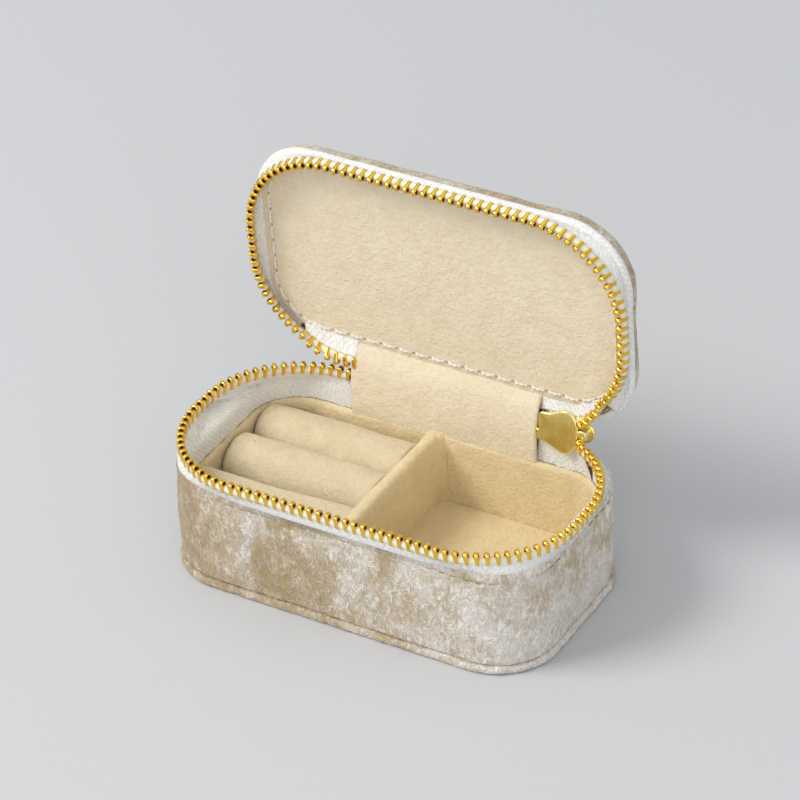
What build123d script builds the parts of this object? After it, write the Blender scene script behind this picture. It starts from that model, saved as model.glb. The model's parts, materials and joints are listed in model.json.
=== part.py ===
from build123d import *
import os
from math import asin, cos, pi, radians, sin

# Zippered travel jewelry box, standing open on its base.
# Frame: origin at the centre of the underside, +X along the box, +Y to the hinge, +Z up.
# The lid is drawn shut and then turned up about the hinge line to its rest, wide open.

# Overall size, mm
BOX_LENGTH = 100.0
BOX_WIDTH = 56.0
BOX_CORNER = 15.8
SHUT_HEIGHT = 44.2

# Base wall, from the outside in
PANEL_THICK = 2.2
VELVET_INSET = 0.6
VELVET_THICK = 0.9
BOARD_THICK = 1.4
TAPE_THICK = 0.7
WALL_TOP = 28.8
BOARD_TOP = 28.0
BOARD_FLOOR = 1.2

# Tray
TRAY_TOP = 23.2
LINING_THICK = 1.6
FLOOR_PAD_THICK = 1.2
DIVIDER_X = (-4.2, -0.4)
DIVIDER_ROUND = 1.2
LEDGE_Y = -11.2
ROLL_X = (-44.0, -4.4)
ROLL_Y = (1.25, 15.25)
ROLL_DIAMETER = 13.8
ROLL_CORE_DIAMETER = 11.4
ROLL_TOP = 22.0
ROLL_BED_TOP = 8.0
ROLL_CLEAR = 0.15

# Zipper: the two tooth rows follow rounded outlines of their own
TOOTH_PITCH = 2.35
TOOTH_HEIGHT = 3.2
TOOTH_DEPTH = 1.9
TOOTH_BODY = 1.0
TOOTH_HEAD = 1.3
BASE_ROW = dict(length=102.2, width=53.5, radius=24.0, cx=0.0, cy=-1.9)
LID_ROW = dict(length=99.6, width=55.6, radius=23.7, cx=-0.4, cy=-1.2)
BASE_ROOT_Z = 30.3
LID_ROOT_Z = 36.85
BASE_ROW_ENDS = (-26.3, 38.5)
LID_ROW_ENDS = (-31.0, 43.0)
LEFT_JOIN = (-26.3, 24.85, 37.3)
BASE_TAPE_NOTCH = (-25.4, 39.6)
TAPE_HEM = 0.9
STOP_Y = 26.1
STOP_Z = 32.9

# Hinge
HINGE_Y = 26.1
HINGE_Z = 38.0
OPEN_ANGLE = 86.5
FLAP_X = (-25.2, 25.2)
FLAP_THICK = 0.8
FLAP_PATH = ((23.55, 23.25), (23.55, 30.5), (24.4, 35.5), (26.5, 39.0))
STRIP_X = (-27.0, 25.2)
STRIP_PATH = ((26.8, 28.85), (27.4, 32.5), (27.5, 35.7))

# Lid, shut
LID_BOTTOM = 39.3
LID_INSET = 0.9
LID_SHIFT = -0.3
LID_BACK_SHIFT = 0.25
LID_EDGE_ROUND = 1.7
LINING_DEPTH = 0.8
LID_BOARD_THICK = 1.6
LID_SKIN = 0.8
LINING_BACK_Y = 24.6

# Stitches
STITCH_WIDTH = 0.4
STITCH_PROUD = 0.2
BASE_STITCH = 1.7
BASE_STITCH_PITCH = 3.1
BASE_STITCH_Z = 25.6
LID_STITCH = 3.0
LID_STITCH_PITCH = 4.5
LID_STITCH_INSET = 3.4

# Slider and pull
SLIDER_X = (25.8, 36.0)
SLIDER_Y = 23.9
SLIDER_Z = 33.7
SLIDER_LEAN = 10.0
SLIDER_NARROW = 7.5
SLIDER_WAIST = 7.7
SLIDER_WIDE = 10.9
OUTER_PLATE_X = 39.0
OUTER_PLATE_HEIGHT = 5.8
PLATE_THICK = 0.8
CHANNEL = 2.1
WEDGE_X = (35.0, 38.0)
WEDGE_HEIGHT = 2.6
CROWN_X = (28.6, 35.0)
CROWN_RISE = 3.0
CROWN_ROD = 1.0
CROWN_DROP = 1.0
PULL_WIDTH = 3.4
PULL_LENGTH = 16.0
PULL_THICK = 1.2
PULL_EYE = (1.6, 3.0)

CLEAR = 0.05


def block(length, width, radius, low, high, cx=0.0, cy=0.0):
    """A rounded rectangular block between two heights."""
    return extrude(Pos(cx, cy, low) * RectangleRounded(length, width, radius), amount=high - low)


def band(length, width, radius, thick, low, high, cx=0.0, cy=0.0):
    """A wall of even thickness that follows a rounded rectangle."""
    outer = block(length, width, radius, low, high, cx, cy)
    inner = block(length - 2 * thick, width - 2 * thick, radius - thick, low, high, cx, cy)
    return outer - inner


def flared_band(low_outline, low, high_outline, high, thick):
    """A wall that goes over from one rounded outline to another."""
    def skin(inset):
        faces = []
        for shape, height in ((low_outline, low), (high_outline, high)):
            face = RectangleRounded(shape["length"] - 2 * inset, shape["width"] - 2 * inset,
                                    shape["radius"] - inset)
            faces.append(Pos(shape["cx"], shape["cy"], height) * face)
        return loft(faces, ruled=True)
    return skin(0.0) - skin(thick)


def grown(row, by):
    """A tooth row's outline, made larger all round."""
    return dict(length=row["length"] + 2 * by, width=row["width"] + 2 * by,
                radius=row["radius"] + by, cx=row["cx"], cy=row["cy"])


def row_length(row):
    """Length once round a rounded rectangle."""
    return 2 * (row["length"] + row["width"]) - 8 * row["radius"] + 2 * pi * row["radius"]


def row_point(row, run):
    """Point and heading at a distance along the outline, clockwise from the middle of the back."""
    straight_x = row["length"] - 2 * row["radius"]
    straight_y = row["width"] - 2 * row["radius"]
    quarter = pi * row["radius"] / 2
    legs = [straight_x / 2, quarter, straight_y, quarter, straight_x, quarter, straight_y,
            quarter, straight_x / 2]
    x, y, heading = row["cx"], row["cy"] + row["width"] / 2, 0.0
    for index, leg in enumerate(legs):
        step = min(run, leg)
        if index % 2:
            turn = step / row["radius"]
            x += row["radius"] * (sin(heading) - sin(heading - turn))
            y += row["radius"] * (cos(heading - turn) - cos(heading))
            heading -= turn
        else:
            x += step * cos(heading)
            y += step * sin(heading)
        run -= step
        if run <= 0:
            break
    return x, y, heading


def run_at_back(row, x):
    """Distance along the outline to the point of its back side that has the given x."""
    offset = x - row["cx"]
    flat = row["length"] / 2 - row["radius"]
    reach = min(abs(offset), flat)
    if abs(offset) > flat:
        reach += row["radius"] * asin((abs(offset) - flat) / row["radius"])
    return reach if offset >= 0 else row_length(row) - reach


def spaced(first, last, pitch):
    """Evenly spaced values from first to last, as near to the pitch as fits."""
    count = max(1, round((last - first) / pitch))
    return [first + (last - first) * index / count for index in range(count + 1)]


def make_tooth():
    """One tooth: a clamp body with a wider head, its root on the origin and its head up +Z."""
    half, head, top = TOOTH_BODY / 2, TOOTH_HEAD / 2, TOOTH_HEIGHT
    side = [(half, 0), (half, 0.66 * top), (head, 0.76 * top), (head, 0.9 * top), (0.5 * head, top)]
    points = side + [(-x, z) for x, z in reversed(side)]
    face = Plane.XZ * make_face(Polyline(*points, close=True))
    return extrude(face, amount=TOOTH_DEPTH / 2, both=True)


TOOTH = make_tooth()


def placed_tooth(at, along, up):
    """A tooth set at a point, with its width along the tape and its head in the given direction."""
    return Plane(origin=at, x_dir=along, z_dir=up) * TOOTH


def opened(shape):
    """Turn a part of the lid from shut to its rest, wide open."""
    return Pos(0, HINGE_Y, HINGE_Z) * Rot(-OPEN_ANGLE, 0, 0) * Pos(0, -HINGE_Y, -HINGE_Z) * shape


def opened_point(x, y, z):
    """Turn one point of the shut lid to the open lid."""
    turn = radians(OPEN_ANGLE)
    dy, dz = y - HINGE_Y, z - HINGE_Z
    return x, HINGE_Y + dy * cos(turn) + dz * sin(turn), HINGE_Z - dy * sin(turn) + dz * cos(turn)


def ribbon(path, thick, ends):
    """A strip of cloth along X whose section follows (y, z) points; thickness goes towards +Y."""
    back = [(y + thick, z) for y, z in reversed(path)]
    face = Plane.YZ * make_face(Polyline(*path, *back, close=True))
    return Pos(ends[0], 0, 0) * extrude(face, amount=ends[1] - ends[0])


def save(name, *shapes):
    """Write one node."""
    solids = [solid for shape in shapes for solid in shape.solids()]
    export_step(Compound(children=solids), f"parts/{name}.step")


# Outlines that several pieces share
SKIN_LENGTH = BOX_LENGTH - 2 * VELVET_INSET
SKIN_WIDTH = BOX_WIDTH - 2 * VELVET_INSET
SKIN_CORNER = BOX_CORNER - VELVET_INSET
BOARD_LENGTH = SKIN_LENGTH - 2 * VELVET_THICK
BOARD_WIDTH = SKIN_WIDTH - 2 * VELVET_THICK
BOARD_CORNER = SKIN_CORNER - VELVET_THICK
HOLLOW_LENGTH = BOARD_LENGTH - 2 * BOARD_THICK
HOLLOW_WIDTH = BOARD_WIDTH - 2 * BOARD_THICK
HOLLOW_CORNER = BOARD_CORNER - BOARD_THICK
FLOOR_Z = PANEL_THICK + BOARD_FLOOR
TRAY_LENGTH = HOLLOW_LENGTH - 2 * LINING_THICK
TRAY_WIDTH = HOLLOW_WIDTH - 2 * LINING_THICK
TRAY_CORNER = HOLLOW_CORNER - LINING_THICK
PAD_TOP = FLOOR_Z + FLOOR_PAD_THICK
LID_LENGTH = BOX_LENGTH - 2 * LID_INSET
LID_WIDTH = BOX_WIDTH - 0.2
LID_PLACE = (LID_SHIFT, LID_BACK_SHIFT)


def base_shell():
    """Bottom panel, floor board, card wall and the velvet that wraps it."""
    panel = block(BOX_LENGTH, BOX_WIDTH, BOX_CORNER, 0, PANEL_THICK)
    save("bottom_velvet_panel", fillet(panel.edges().group_by(Axis.Z)[0], 0.7))
    save("bottom_board", block(BOARD_LENGTH, BOARD_WIDTH, BOARD_CORNER, PANEL_THICK, FLOOR_Z))
    save("base_card_wall",
         band(BOARD_LENGTH, BOARD_WIDTH, BOARD_CORNER, BOARD_THICK, FLOOR_Z, BOARD_TOP))
    skin = band(SKIN_LENGTH, SKIN_WIDTH, SKIN_CORNER, VELVET_THICK, PANEL_THICK, WALL_TOP)
    turned_edge = band(BOARD_LENGTH, BOARD_WIDTH, BOARD_CORNER, BOARD_THICK, BOARD_TOP, WALL_TOP)
    wall = skin + turned_edge
    save("base_velvet_wall", wall)


def base_stitches():
    """The seam that closes the velvet's turned edge: short threads lying on the wall."""
    path = dict(length=SKIN_LENGTH, width=SKIN_WIDTH, radius=SKIN_CORNER, cx=0.0, cy=0.0)
    total = row_length(path)
    count = round(total / BASE_STITCH_PITCH)
    thread = Box(BASE_STITCH, STITCH_PROUD, STITCH_WIDTH,
                 align=(Align.CENTER, Align.MIN, Align.CENTER))
    threads = []
    for index in range(count):
        x, y, heading = row_point(grown(path, 0.08), index * row_length(grown(path, 0.08)) / count)
        along = (cos(heading), sin(heading), 0)
        threads.append(Plane(origin=(x, y, BASE_STITCH_Z), x_dir=along, z_dir=(0, 0, 1)) * thread)
    save("base_seam_stitches", *threads)


def between(x0, x1, y0, y1, z0, z1):
    """A box between limits."""
    return Pos((x0 + x1) / 2, (y0 + y1) / 2, (z0 + z1) / 2) * Box(x1 - x0, y1 - y0, z1 - z0)


def tray_core(inset):
    """The inside of the tray, less an inset all round."""
    return block(TRAY_LENGTH - 2 * inset, TRAY_WIDTH - 2 * inset, TRAY_CORNER - inset, FLOOR_Z, TRAY_TOP)


def tray():
    """Suede-covered lining wall, floor pad, divider, front ledge and the two ring rolls."""
    save("tray_lining_wall",
         band(HOLLOW_LENGTH, HOLLOW_WIDTH, HOLLOW_CORNER, LINING_THICK, FLOOR_Z, TRAY_TOP))
    inside = block(TRAY_LENGTH, TRAY_WIDTH, TRAY_CORNER, FLOOR_Z, TRAY_TOP)
    half = TRAY_LENGTH / 2
    cutter = Pos((DIVIDER_X[1] + half) / 2, 0, (FLOOR_Z + PAD_TOP) / 2)
    pad = inside & cutter * Box(half - DIVIDER_X[1], TRAY_WIDTH, FLOOR_PAD_THICK)
    save("compartment_floor_pad", pad)

    divider_width = DIVIDER_X[1] - DIVIDER_X[0]
    divider = Pos(sum(DIVIDER_X) / 2, 0, (FLOOR_Z + TRAY_TOP) / 2) * Box(
        divider_width, TRAY_WIDTH, TRAY_TOP - FLOOR_Z)
    top_edges = divider.edges().filter_by(Axis.Y).group_by(Axis.Z)[-1]
    save("tray_divider", fillet(top_edges, DIVIDER_ROUND))

    front, back = -TRAY_WIDTH / 2, TRAY_WIDTH / 2
    save("ring_front_ledge", inside & between(-half, DIVIDER_X[0], front, LEDGE_Y, FLOOR_Z, TRAY_TOP))
    save("ring_roll_bed", inside & between(-half, DIVIDER_X[0], LEDGE_Y, back, FLOOR_Z, ROLL_BED_TOP))
    axis_z = ROLL_TOP - ROLL_DIAMETER / 2
    length = ROLL_X[1] - ROLL_X[0]
    for name, y in (("front_ring_roll", ROLL_Y[0]), ("back_ring_roll", ROLL_Y[1])):
        place = Pos(sum(ROLL_X) / 2, y, axis_z) * Rot(0, 90, 0)
        roll = Cylinder(ROLL_DIAMETER / 2, length)
        roll = (place * fillet(roll.edges(), 1.0)) & tray_core(ROLL_CLEAR)
        skin = (ROLL_DIAMETER - ROLL_CORE_DIAMETER) / 2
        core = (place * Cylinder(ROLL_CORE_DIAMETER / 2, length - 2 * skin)) & tray_core(
            ROLL_CLEAR + skin)
        save(name, roll - core)
        save(name + "_core", core)


def zipper_base():
    """Tape and teeth that stand on the base."""
    inner = dict(length=HOLLOW_LENGTH, width=HOLLOW_WIDTH, radius=HOLLOW_CORNER, cx=0.0, cy=0.0)
    lower = band(HOLLOW_LENGTH, HOLLOW_WIDTH, HOLLOW_CORNER, TAPE_THICK, TRAY_TOP, WALL_TOP)
    upper = flared_band(inner, WALL_TOP, grown(BASE_ROW, TAPE_THICK / 2), BASE_ROOT_Z, TAPE_THICK)
    save("base_zipper_tape", lower + (upper - back_notch(BASE_TAPE_NOTCH, WALL_TOP)))
    save("base_zipper_teeth", *row_teeth(BASE_ROW, BASE_ROW_ENDS, BASE_ROOT_Z, (0, 0, 1)))


def back_notch(ends, height):
    """A block that cuts the back stretch out of a zipper tape."""
    return Pos(sum(ends) / 2, BOX_WIDTH / 2, height) * Box(ends[1] - ends[0], 20, 10)


def row_teeth(row, ends, root_z, up):
    """Teeth along an outline, from its right end at the back round the front to its left end."""
    teeth = []
    for run in spaced(run_at_back(row, ends[1]), run_at_back(row, ends[0]), TOOTH_PITCH):
        x, y, heading = row_point(row, run)
        teeth.append(placed_tooth((x, y, root_z), (cos(heading), sin(heading), 0), up))
    return teeth


def blended(first, last, share):
    """Between two points, by a share of the way."""
    return tuple(a + (b - a) * share for a, b in zip(first, last))


def row_end(ring_x, last, count):
    """Teeth of the lid's row that twist down from its outline to the point where the rows join."""
    x, y, heading = row_point(LID_ROW, run_at_back(LID_ROW, ring_x))
    first = opened_point(x, y, LID_ROOT_Z)
    teeth = []
    for index in range(count):
        share = (index + 1) / (count + 1)
        turn = radians(OPEN_ANGLE * (1 - share))
        teeth.append(placed_tooth(blended(first, last, share), (1, 0, 0), (0, -sin(turn), -cos(turn))))
    return teeth


def on_slider(shape):
    """Place a shape drawn about the slider's front face: it leans back with the hinge cloth."""
    return Pos(0, SLIDER_Y, SLIDER_Z) * Rot(-SLIDER_LEAN, 0, 0) * shape


def zipper_ends():
    """Joined teeth, stops and tape ends at both ends of the zipper."""
    chain_y = PLATE_THICK + CHANNEL / 2
    mouth = (WEDGE_X[1] + 0.6, SLIDER_Y + chain_y, SLIDER_Z + TOOTH_HEIGHT + WEDGE_HEIGHT / 2)
    right = row_end(LID_ROW_ENDS[1], mouth, 1)
    for x in spaced(SLIDER_X[0] + 1.5, WEDGE_X[0] - 1.5, TOOTH_PITCH):
        for side in (-1, 1):
            root = (x, chain_y, side * (TOOTH_HEIGHT + CLEAR))
            right.append(on_slider(placed_tooth(root, (1, 0, 0), (0, 0, -side))))
    save("right_end_teeth", *right)
    save("left_end_teeth", *row_end(LID_ROW_ENDS[0], LEFT_JOIN, 2))

    save("bottom_stop", Pos(SLIDER_X[0] - 2.1, STOP_Y + 0.25, STOP_Z + 0.3) * Box(2.0, 1.2, 4.4))
    save("top_stops", *[Pos(FLAP_X[0] + 1.6, STOP_Y, STOP_Z + side * 1.6) * Box(1.6, 1.2, 2.6)
                        for side in (-1, 1)])

    right_x = (SLIDER_X[0] + 0.1, BASE_TAPE_NOTCH[1] - 0.3)
    hem = Box(right_x[1] - right_x[0], TAPE_THICK, TAPE_HEM)
    reach = TOOTH_HEIGHT + 2 * CLEAR + TAPE_HEM / 2
    save("tape_end_right", *[on_slider(Pos(sum(right_x) / 2, chain_y, side * reach) * hem)
                             for side in (-1, 1)])
    left_x = (LID_ROW_ENDS[0] + 0.7, FLAP_X[0] - 0.1)
    left_hem = Box(left_x[1] - left_x[0], TAPE_THICK, TAPE_HEM)
    save("tape_end_left", Pos(sum(left_x) / 2, LEFT_JOIN[1] + 0.3, LEFT_JOIN[2] + 1.5) * left_hem)


def hinge_cloth():
    """Suede flap inside and velvet strip outside, both sewn to base and lid."""
    save("inner_hinge_flap", ribbon(FLAP_PATH, FLAP_THICK, FLAP_X))
    save("outer_hinge_strip", ribbon(STRIP_PATH, FLAP_THICK, STRIP_X))


def lid():
    """Lining, board, foam, velvet cover, stitches, tape and teeth of the lid."""
    cx, cy = LID_PLACE
    top = SHUT_HEIGHT
    cover = block(LID_LENGTH, LID_WIDTH, BOX_CORNER, LID_BOTTOM, top, cx, cy)
    cover = fillet(cover.edges().group_by(Axis.Z)[-1], LID_EDGE_ROUND)
    inner_length, inner_width = LID_LENGTH - 2 * LID_SKIN, LID_WIDTH - 2 * LID_SKIN
    inner_corner = BOX_CORNER - LID_SKIN
    lining_top = LID_BOTTOM + LINING_DEPTH
    board_top = lining_top + LID_BOARD_THICK
    foam_top = top - LID_SKIN
    hollow = block(inner_length, inner_width, inner_corner, LID_BOTTOM, foam_top, cx, cy)
    hollow_core = fillet(hollow.edges().group_by(Axis.Z)[-1], LID_EDGE_ROUND - LID_SKIN)
    save("lid_velvet_cover", opened(cover - hollow_core))
    save("lid_board", opened(block(inner_length, inner_width, inner_corner, lining_top, board_top,
                                   cx, cy)))
    foam = block(inner_length, inner_width, inner_corner, board_top, foam_top, cx, cy)
    foam = fillet(foam.edges().group_by(Axis.Z)[-1], LID_EDGE_ROUND - LID_SKIN)
    save("lid_foam_pad", opened(foam))
    lining = block(inner_length, inner_width, inner_corner, LID_BOTTOM, lining_top, cx, cy)
    behind = Pos(cx, LINING_BACK_Y + 5, LID_BOTTOM) * Box(BOX_LENGTH, 10, 10)
    save("lid_lining", opened(lining - behind))

    low_outline = grown(LID_ROW, TAPE_THICK / 2)
    high_outline = dict(length=inner_length, width=inner_width, radius=inner_corner, cx=cx, cy=cy)
    tape = flared_band(low_outline, LID_ROOT_Z, high_outline, LID_BOTTOM - CLEAR, TAPE_THICK)
    notch = back_notch((LID_ROW_ENDS[0] - 1.2, LID_ROW_ENDS[1] + 1.2), LID_ROOT_Z)
    save("lid_zipper_tape", opened(tape - notch))
    teeth = row_teeth(LID_ROW, LID_ROW_ENDS, LID_ROOT_Z, (0, 0, -1))
    save("lid_zipper_teeth", *[opened(tooth) for tooth in teeth])


def lid_stitches():
    """The row of thread that holds the lining, just inside its edge."""
    row = dict(length=LID_LENGTH - 2 * LID_STITCH_INSET, width=LID_WIDTH - 2 * LID_STITCH_INSET - 2.6,
               radius=BOX_CORNER - LID_STITCH_INSET, cx=LID_PLACE[0], cy=LID_PLACE[1] - 1.3)
    thread = Box(LID_STITCH, STITCH_WIDTH, STITCH_PROUD,
                 align=(Align.CENTER, Align.CENTER, Align.MAX))
    count = round(row_length(row) / LID_STITCH_PITCH)
    threads = []
    for index in range(count):
        x, y, heading = row_point(row, index * row_length(row) / count)
        place = Plane(origin=(x, y, LID_BOTTOM), x_dir=(cos(heading), sin(heading), 0),
                      z_dir=(0, 0, 1))
        threads.append(opened(place * thread))
    save("lid_lining_stitches", *threads)


def slider_plate(back, nose_x, narrow, waist, wide):
    """One plate of the slider: square at the narrow end, waisted, round at the wide end."""
    tail_x = SLIDER_X[0]
    waist_x, wide_x = tail_x + 2.8, nose_x - 3.6
    upper = Spline((tail_x, narrow / 2), (waist_x, waist / 2), (wide_x, wide / 2))
    nose = ThreePointArc((wide_x, wide / 2), (nose_x, 0), (wide_x, -wide / 2))
    lower = Spline((wide_x, -wide / 2), (waist_x, -waist / 2), (tail_x, -narrow / 2))
    tail = Line((tail_x, -narrow / 2), (tail_x, narrow / 2))
    plane = Plane(origin=(0, back, 0), x_dir=(1, 0, 0), z_dir=(0, -1, 0))
    return extrude(plane * make_face([upper, nose, lower, tail]), amount=PLATE_THICK)


def slider():
    """Slider body: two plates joined by the wedge between the rows; crown rod on the outside."""
    outer_back = 2 * PLATE_THICK + CHANNEL
    height = OUTER_PLATE_HEIGHT
    body = slider_plate(PLATE_THICK, SLIDER_X[1], SLIDER_NARROW, SLIDER_WAIST, SLIDER_WIDE)
    body += slider_plate(outer_back, OUTER_PLATE_X, height - 0.6, height - 0.5, height)
    wedge = Box(WEDGE_X[1] - WEDGE_X[0], outer_back, WEDGE_HEIGHT)
    body += Pos(sum(WEDGE_X) / 2, outer_back / 2, 0) * wedge
    save("slider_body", on_slider(body))

    rod = Pos(sum(CROWN_X) / 2, outer_back + CROWN_RISE - CROWN_ROD / 2, -CROWN_DROP) * Box(
        CROWN_X[1] - CROWN_X[0], CROWN_ROD, CROWN_ROD)
    legs = [Pos(x, outer_back + CROWN_RISE / 2, -CROWN_DROP) * Box(CROWN_ROD, CROWN_RISE, CROWN_ROD)
            for x in (CROWN_X[0] + CROWN_ROD / 2, CROWN_X[1] - CROWN_ROD / 2)]
    crown = on_slider(rod + legs[0] + legs[1])
    save("slider_crown", crown)
    return on_slider(rod).center()


def pull_tab(rod):
    """The tab hangs from the crown's rod by its eye, edge on to the back wall."""
    eye_width, eye_height = PULL_EYE
    drop = PULL_LENGTH / 2 - eye_height / 2 - 1.0
    profile = Pos(0, -drop) * RectangleRounded(PULL_WIDTH, PULL_LENGTH, PULL_WIDTH / 2 - 0.1)
    profile -= Pos(0, -eye_height / 2 + CROWN_ROD / 2 + 0.15) * RectangleRounded(
        eye_width, eye_height, eye_width / 2 - 0.1)
    plane = Plane(origin=(rod.X - PULL_THICK / 2, rod.Y, rod.Z), x_dir=(0, 1, 0), z_dir=(1, 0, 0))
    tab = extrude(plane * profile, amount=PULL_THICK)
    save("pull_tab", tab)
    print("pull hinge", tuple(round(value, 3) for value in (rod.X, rod.Y, rod.Z)))


def main():
    os.makedirs("parts", exist_ok=True)
    base_shell()
    base_stitches()
    tray()
    zipper_base()
    zipper_ends()
    hinge_cloth()
    lid()
    lid_stitches()
    pull_tab(slider())


main()
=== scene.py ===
import json
from math import asin, ceil, cos, pi, radians, sin, sqrt
import random
import bmesh
import bpy
from mathutils import Matrix, Vector, noise


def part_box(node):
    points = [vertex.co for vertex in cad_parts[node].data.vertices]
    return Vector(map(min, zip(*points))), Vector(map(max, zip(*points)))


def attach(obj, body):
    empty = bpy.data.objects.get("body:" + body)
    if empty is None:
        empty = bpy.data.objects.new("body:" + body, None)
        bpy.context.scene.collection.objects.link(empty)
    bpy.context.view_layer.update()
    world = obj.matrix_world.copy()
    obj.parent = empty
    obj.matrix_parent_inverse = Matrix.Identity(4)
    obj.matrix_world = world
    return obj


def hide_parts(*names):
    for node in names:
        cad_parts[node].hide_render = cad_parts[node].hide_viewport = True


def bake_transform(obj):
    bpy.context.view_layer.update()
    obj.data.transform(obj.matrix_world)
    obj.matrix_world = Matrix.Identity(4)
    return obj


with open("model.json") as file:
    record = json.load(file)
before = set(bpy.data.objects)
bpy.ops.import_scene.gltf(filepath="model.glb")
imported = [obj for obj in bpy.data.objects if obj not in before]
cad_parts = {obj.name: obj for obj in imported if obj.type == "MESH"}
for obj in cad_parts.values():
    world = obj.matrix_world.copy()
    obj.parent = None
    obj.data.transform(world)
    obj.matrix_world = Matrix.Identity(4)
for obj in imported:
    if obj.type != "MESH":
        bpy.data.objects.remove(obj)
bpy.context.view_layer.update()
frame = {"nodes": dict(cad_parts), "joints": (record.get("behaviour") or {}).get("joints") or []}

# Zippered travel jewelry box. Lengths below are in mm; meshes are made in metres.
# The lid is drawn shut and turned up about its hinge line, as the CAD model is.

MM = 0.001

HINGE = next(joint for joint in frame["joints"] if joint["name"] == "lid_hinge")
HINGE_Y = HINGE["pos_m"][1] / MM
HINGE_Z = HINGE["pos_m"][2] / MM
OPEN_ANGLE = HINGE["range_deg"][1]


def reach(node, axis):
    """Lowest and highest place of a CAD node along an axis, mm."""
    low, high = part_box(node)
    return low[axis] / MM, high[axis] / MM


def size(node, axis):
    """Length of a CAD node along an axis, mm."""
    low, high = reach(node, axis)
    return high - low


def rounded(length, width, radius, cx=0.0, cy=0.0):
    """A rectangle with rounded corners about a centre."""
    return dict(length=length, width=width, radius=radius, cx=cx, cy=cy)


# Outlines
PANEL = rounded(size("bottom_velvet_panel", 0), size("bottom_velvet_panel", 1), 15.8)
WALL = rounded(size("base_velvet_wall", 0), size("base_velvet_wall", 1), 15.2)
HOLLOW = rounded(size("tray_lining_wall", 0), size("tray_lining_wall", 1), 12.9)
BASE_ROW = rounded(102.2, 53.5, 24.0, 0.0, -1.9)
LID_ROW = rounded(99.6, 55.6, 23.7, -0.4, -1.2)
COVER = rounded(size("lid_velvet_cover", 0), 55.8, 15.8, -0.3, 0.25)
LINING = rounded(size("lid_lining", 0) - 0.2, 51.4, 15.0, -0.3, -1.1)
LID_STITCH_ROW = rounded(91.4, 46.4, 12.4, -0.3, -1.05)

# Heights
PANEL_TOP = reach("bottom_velvet_panel", 2)[1]
WALL_TOP = reach("base_velvet_wall", 2)[1]
SEAM_Z = sum(reach("base_seam_stitches", 2)) / 2
FLOOR_Z = reach("tray_lining_wall", 2)[0]
TRAY_TOP = reach("tray_lining_wall", 2)[1]
BASE_ROOT_Z = 30.3
LID_ROOT_Z = 36.85
LID_BOTTOM = 39.3
LID_TOP = 44.2

# Zipper
TOOTH_PITCH = 2.35
TOOTH_HEIGHT = 3.2
BEAD_HIGH = 0.95
BEAD_DEEP = 0.62
TAPE_THICK = 0.45
LID_TOOTH_LEAN = 20.0

# Where each row ends along X at the back
BASE_ROW_ENDS = (-26.3, 38.5)
LID_ROW_ENDS = (-38.0, 43.0)

# Slider's front face and its lean in degrees
SLIDER_Y = 23.9
SLIDER_Z = 33.7
SLIDER_LEAN = 10.0

# Cloth; no sheet may be declared narrower than the smallest
SMALLEST_SHEET = 10.0
WALL_LEAN_FRONT = 1.45
WALL_LEAN_ENDS = 1.4
TRAY_SAG = 1.0
ROLL_SWELL = 0.2
FLAP_THICK = 0.7
BASE_HEM_THICK = 0.35
LID_HEM_THICK = 0.3

# Points on each straight and curved stretch of an outline, clockwise from the middle of the back
LEG_STEPS = (10, 14, 5, 14, 20, 14, 5, 14, 10)


# ---------------------------------------------------------------- geometry helpers

def legs(row):
    """Lengths of the straight and curved stretches, clockwise from the middle of the back."""
    along = row["length"] - 2 * row["radius"]
    across = row["width"] - 2 * row["radius"]
    quarter = pi * row["radius"] / 2
    return [along / 2, quarter, across, quarter, along, quarter, across, quarter, along / 2]


def row_point(row, run):
    """Point and heading at a distance along the outline, clockwise from the middle of the back."""
    x, y, heading = row["cx"], row["cy"] + row["width"] / 2, 0.0
    for index, leg in enumerate(legs(row)):
        step = min(run, leg)
        if index % 2:
            turn = step / row["radius"]
            x += row["radius"] * (sin(heading) - sin(heading - turn))
            y += row["radius"] * (cos(heading - turn) - cos(heading))
            heading -= turn
        else:
            x += step * cos(heading)
            y += step * sin(heading)
        run -= step
        if run <= 0:
            break
    return x, y, heading


def run_at_back(row, x):
    """Distance along the outline to the point of its back side that has the given x."""
    offset = x - row["cx"]
    flat = row["length"] / 2 - row["radius"]
    along = min(abs(offset), flat)
    if abs(offset) > flat:
        along += row["radius"] * asin((abs(offset) - flat) / row["radius"])
    return along if offset >= 0 else sum(legs(row)) - along


def outline(row, detail=1):
    """Points with outward normals; outlines of equal detail match point for point."""
    points = []
    start = 0.0
    for leg, steps in zip(legs(row), LEG_STEPS):
        for index in range(steps * detail):
            x, y, heading = row_point(row, start + leg * index / (steps * detail))
            points.append((x, y, -sin(heading), cos(heading)))
        start += leg
    return points


def corner_outline(low, high, radii, spacing=2.0):
    """Clockwise loop round a box whose corners (back right, front right, ...) differ in radius."""
    steps = 8
    x0, y0, x1, y1 = low[0], low[1], high[0], high[1]
    corners = ((x1, y1, 90), (x1, y0, 0), (x0, y0, -90), (x0, y1, -180))
    loop = []
    for (x, y, start), radius in zip(corners, radii):
        cx = x - radius * (1 if x == x1 else -1)
        cy = y - radius * (1 if y == y1 else -1)
        for index in range(steps + 1):
            angle = radians(start - 90 * index / steps)
            loop.append((cx + radius * cos(angle), cy + radius * sin(angle),
                         cos(angle), sin(angle)))
    filled = []
    for index, point in enumerate(loop):
        after = loop[(index + 1) % len(loop)]
        gap = sqrt((after[0] - point[0]) ** 2 + (after[1] - point[1]) ** 2)
        parts = max(1, ceil(gap / spacing))
        for part in range(parts):
            share = part / parts
            filled.append(tuple(a + (b - a) * share for a, b in zip(point, after)))
    return filled


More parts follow.
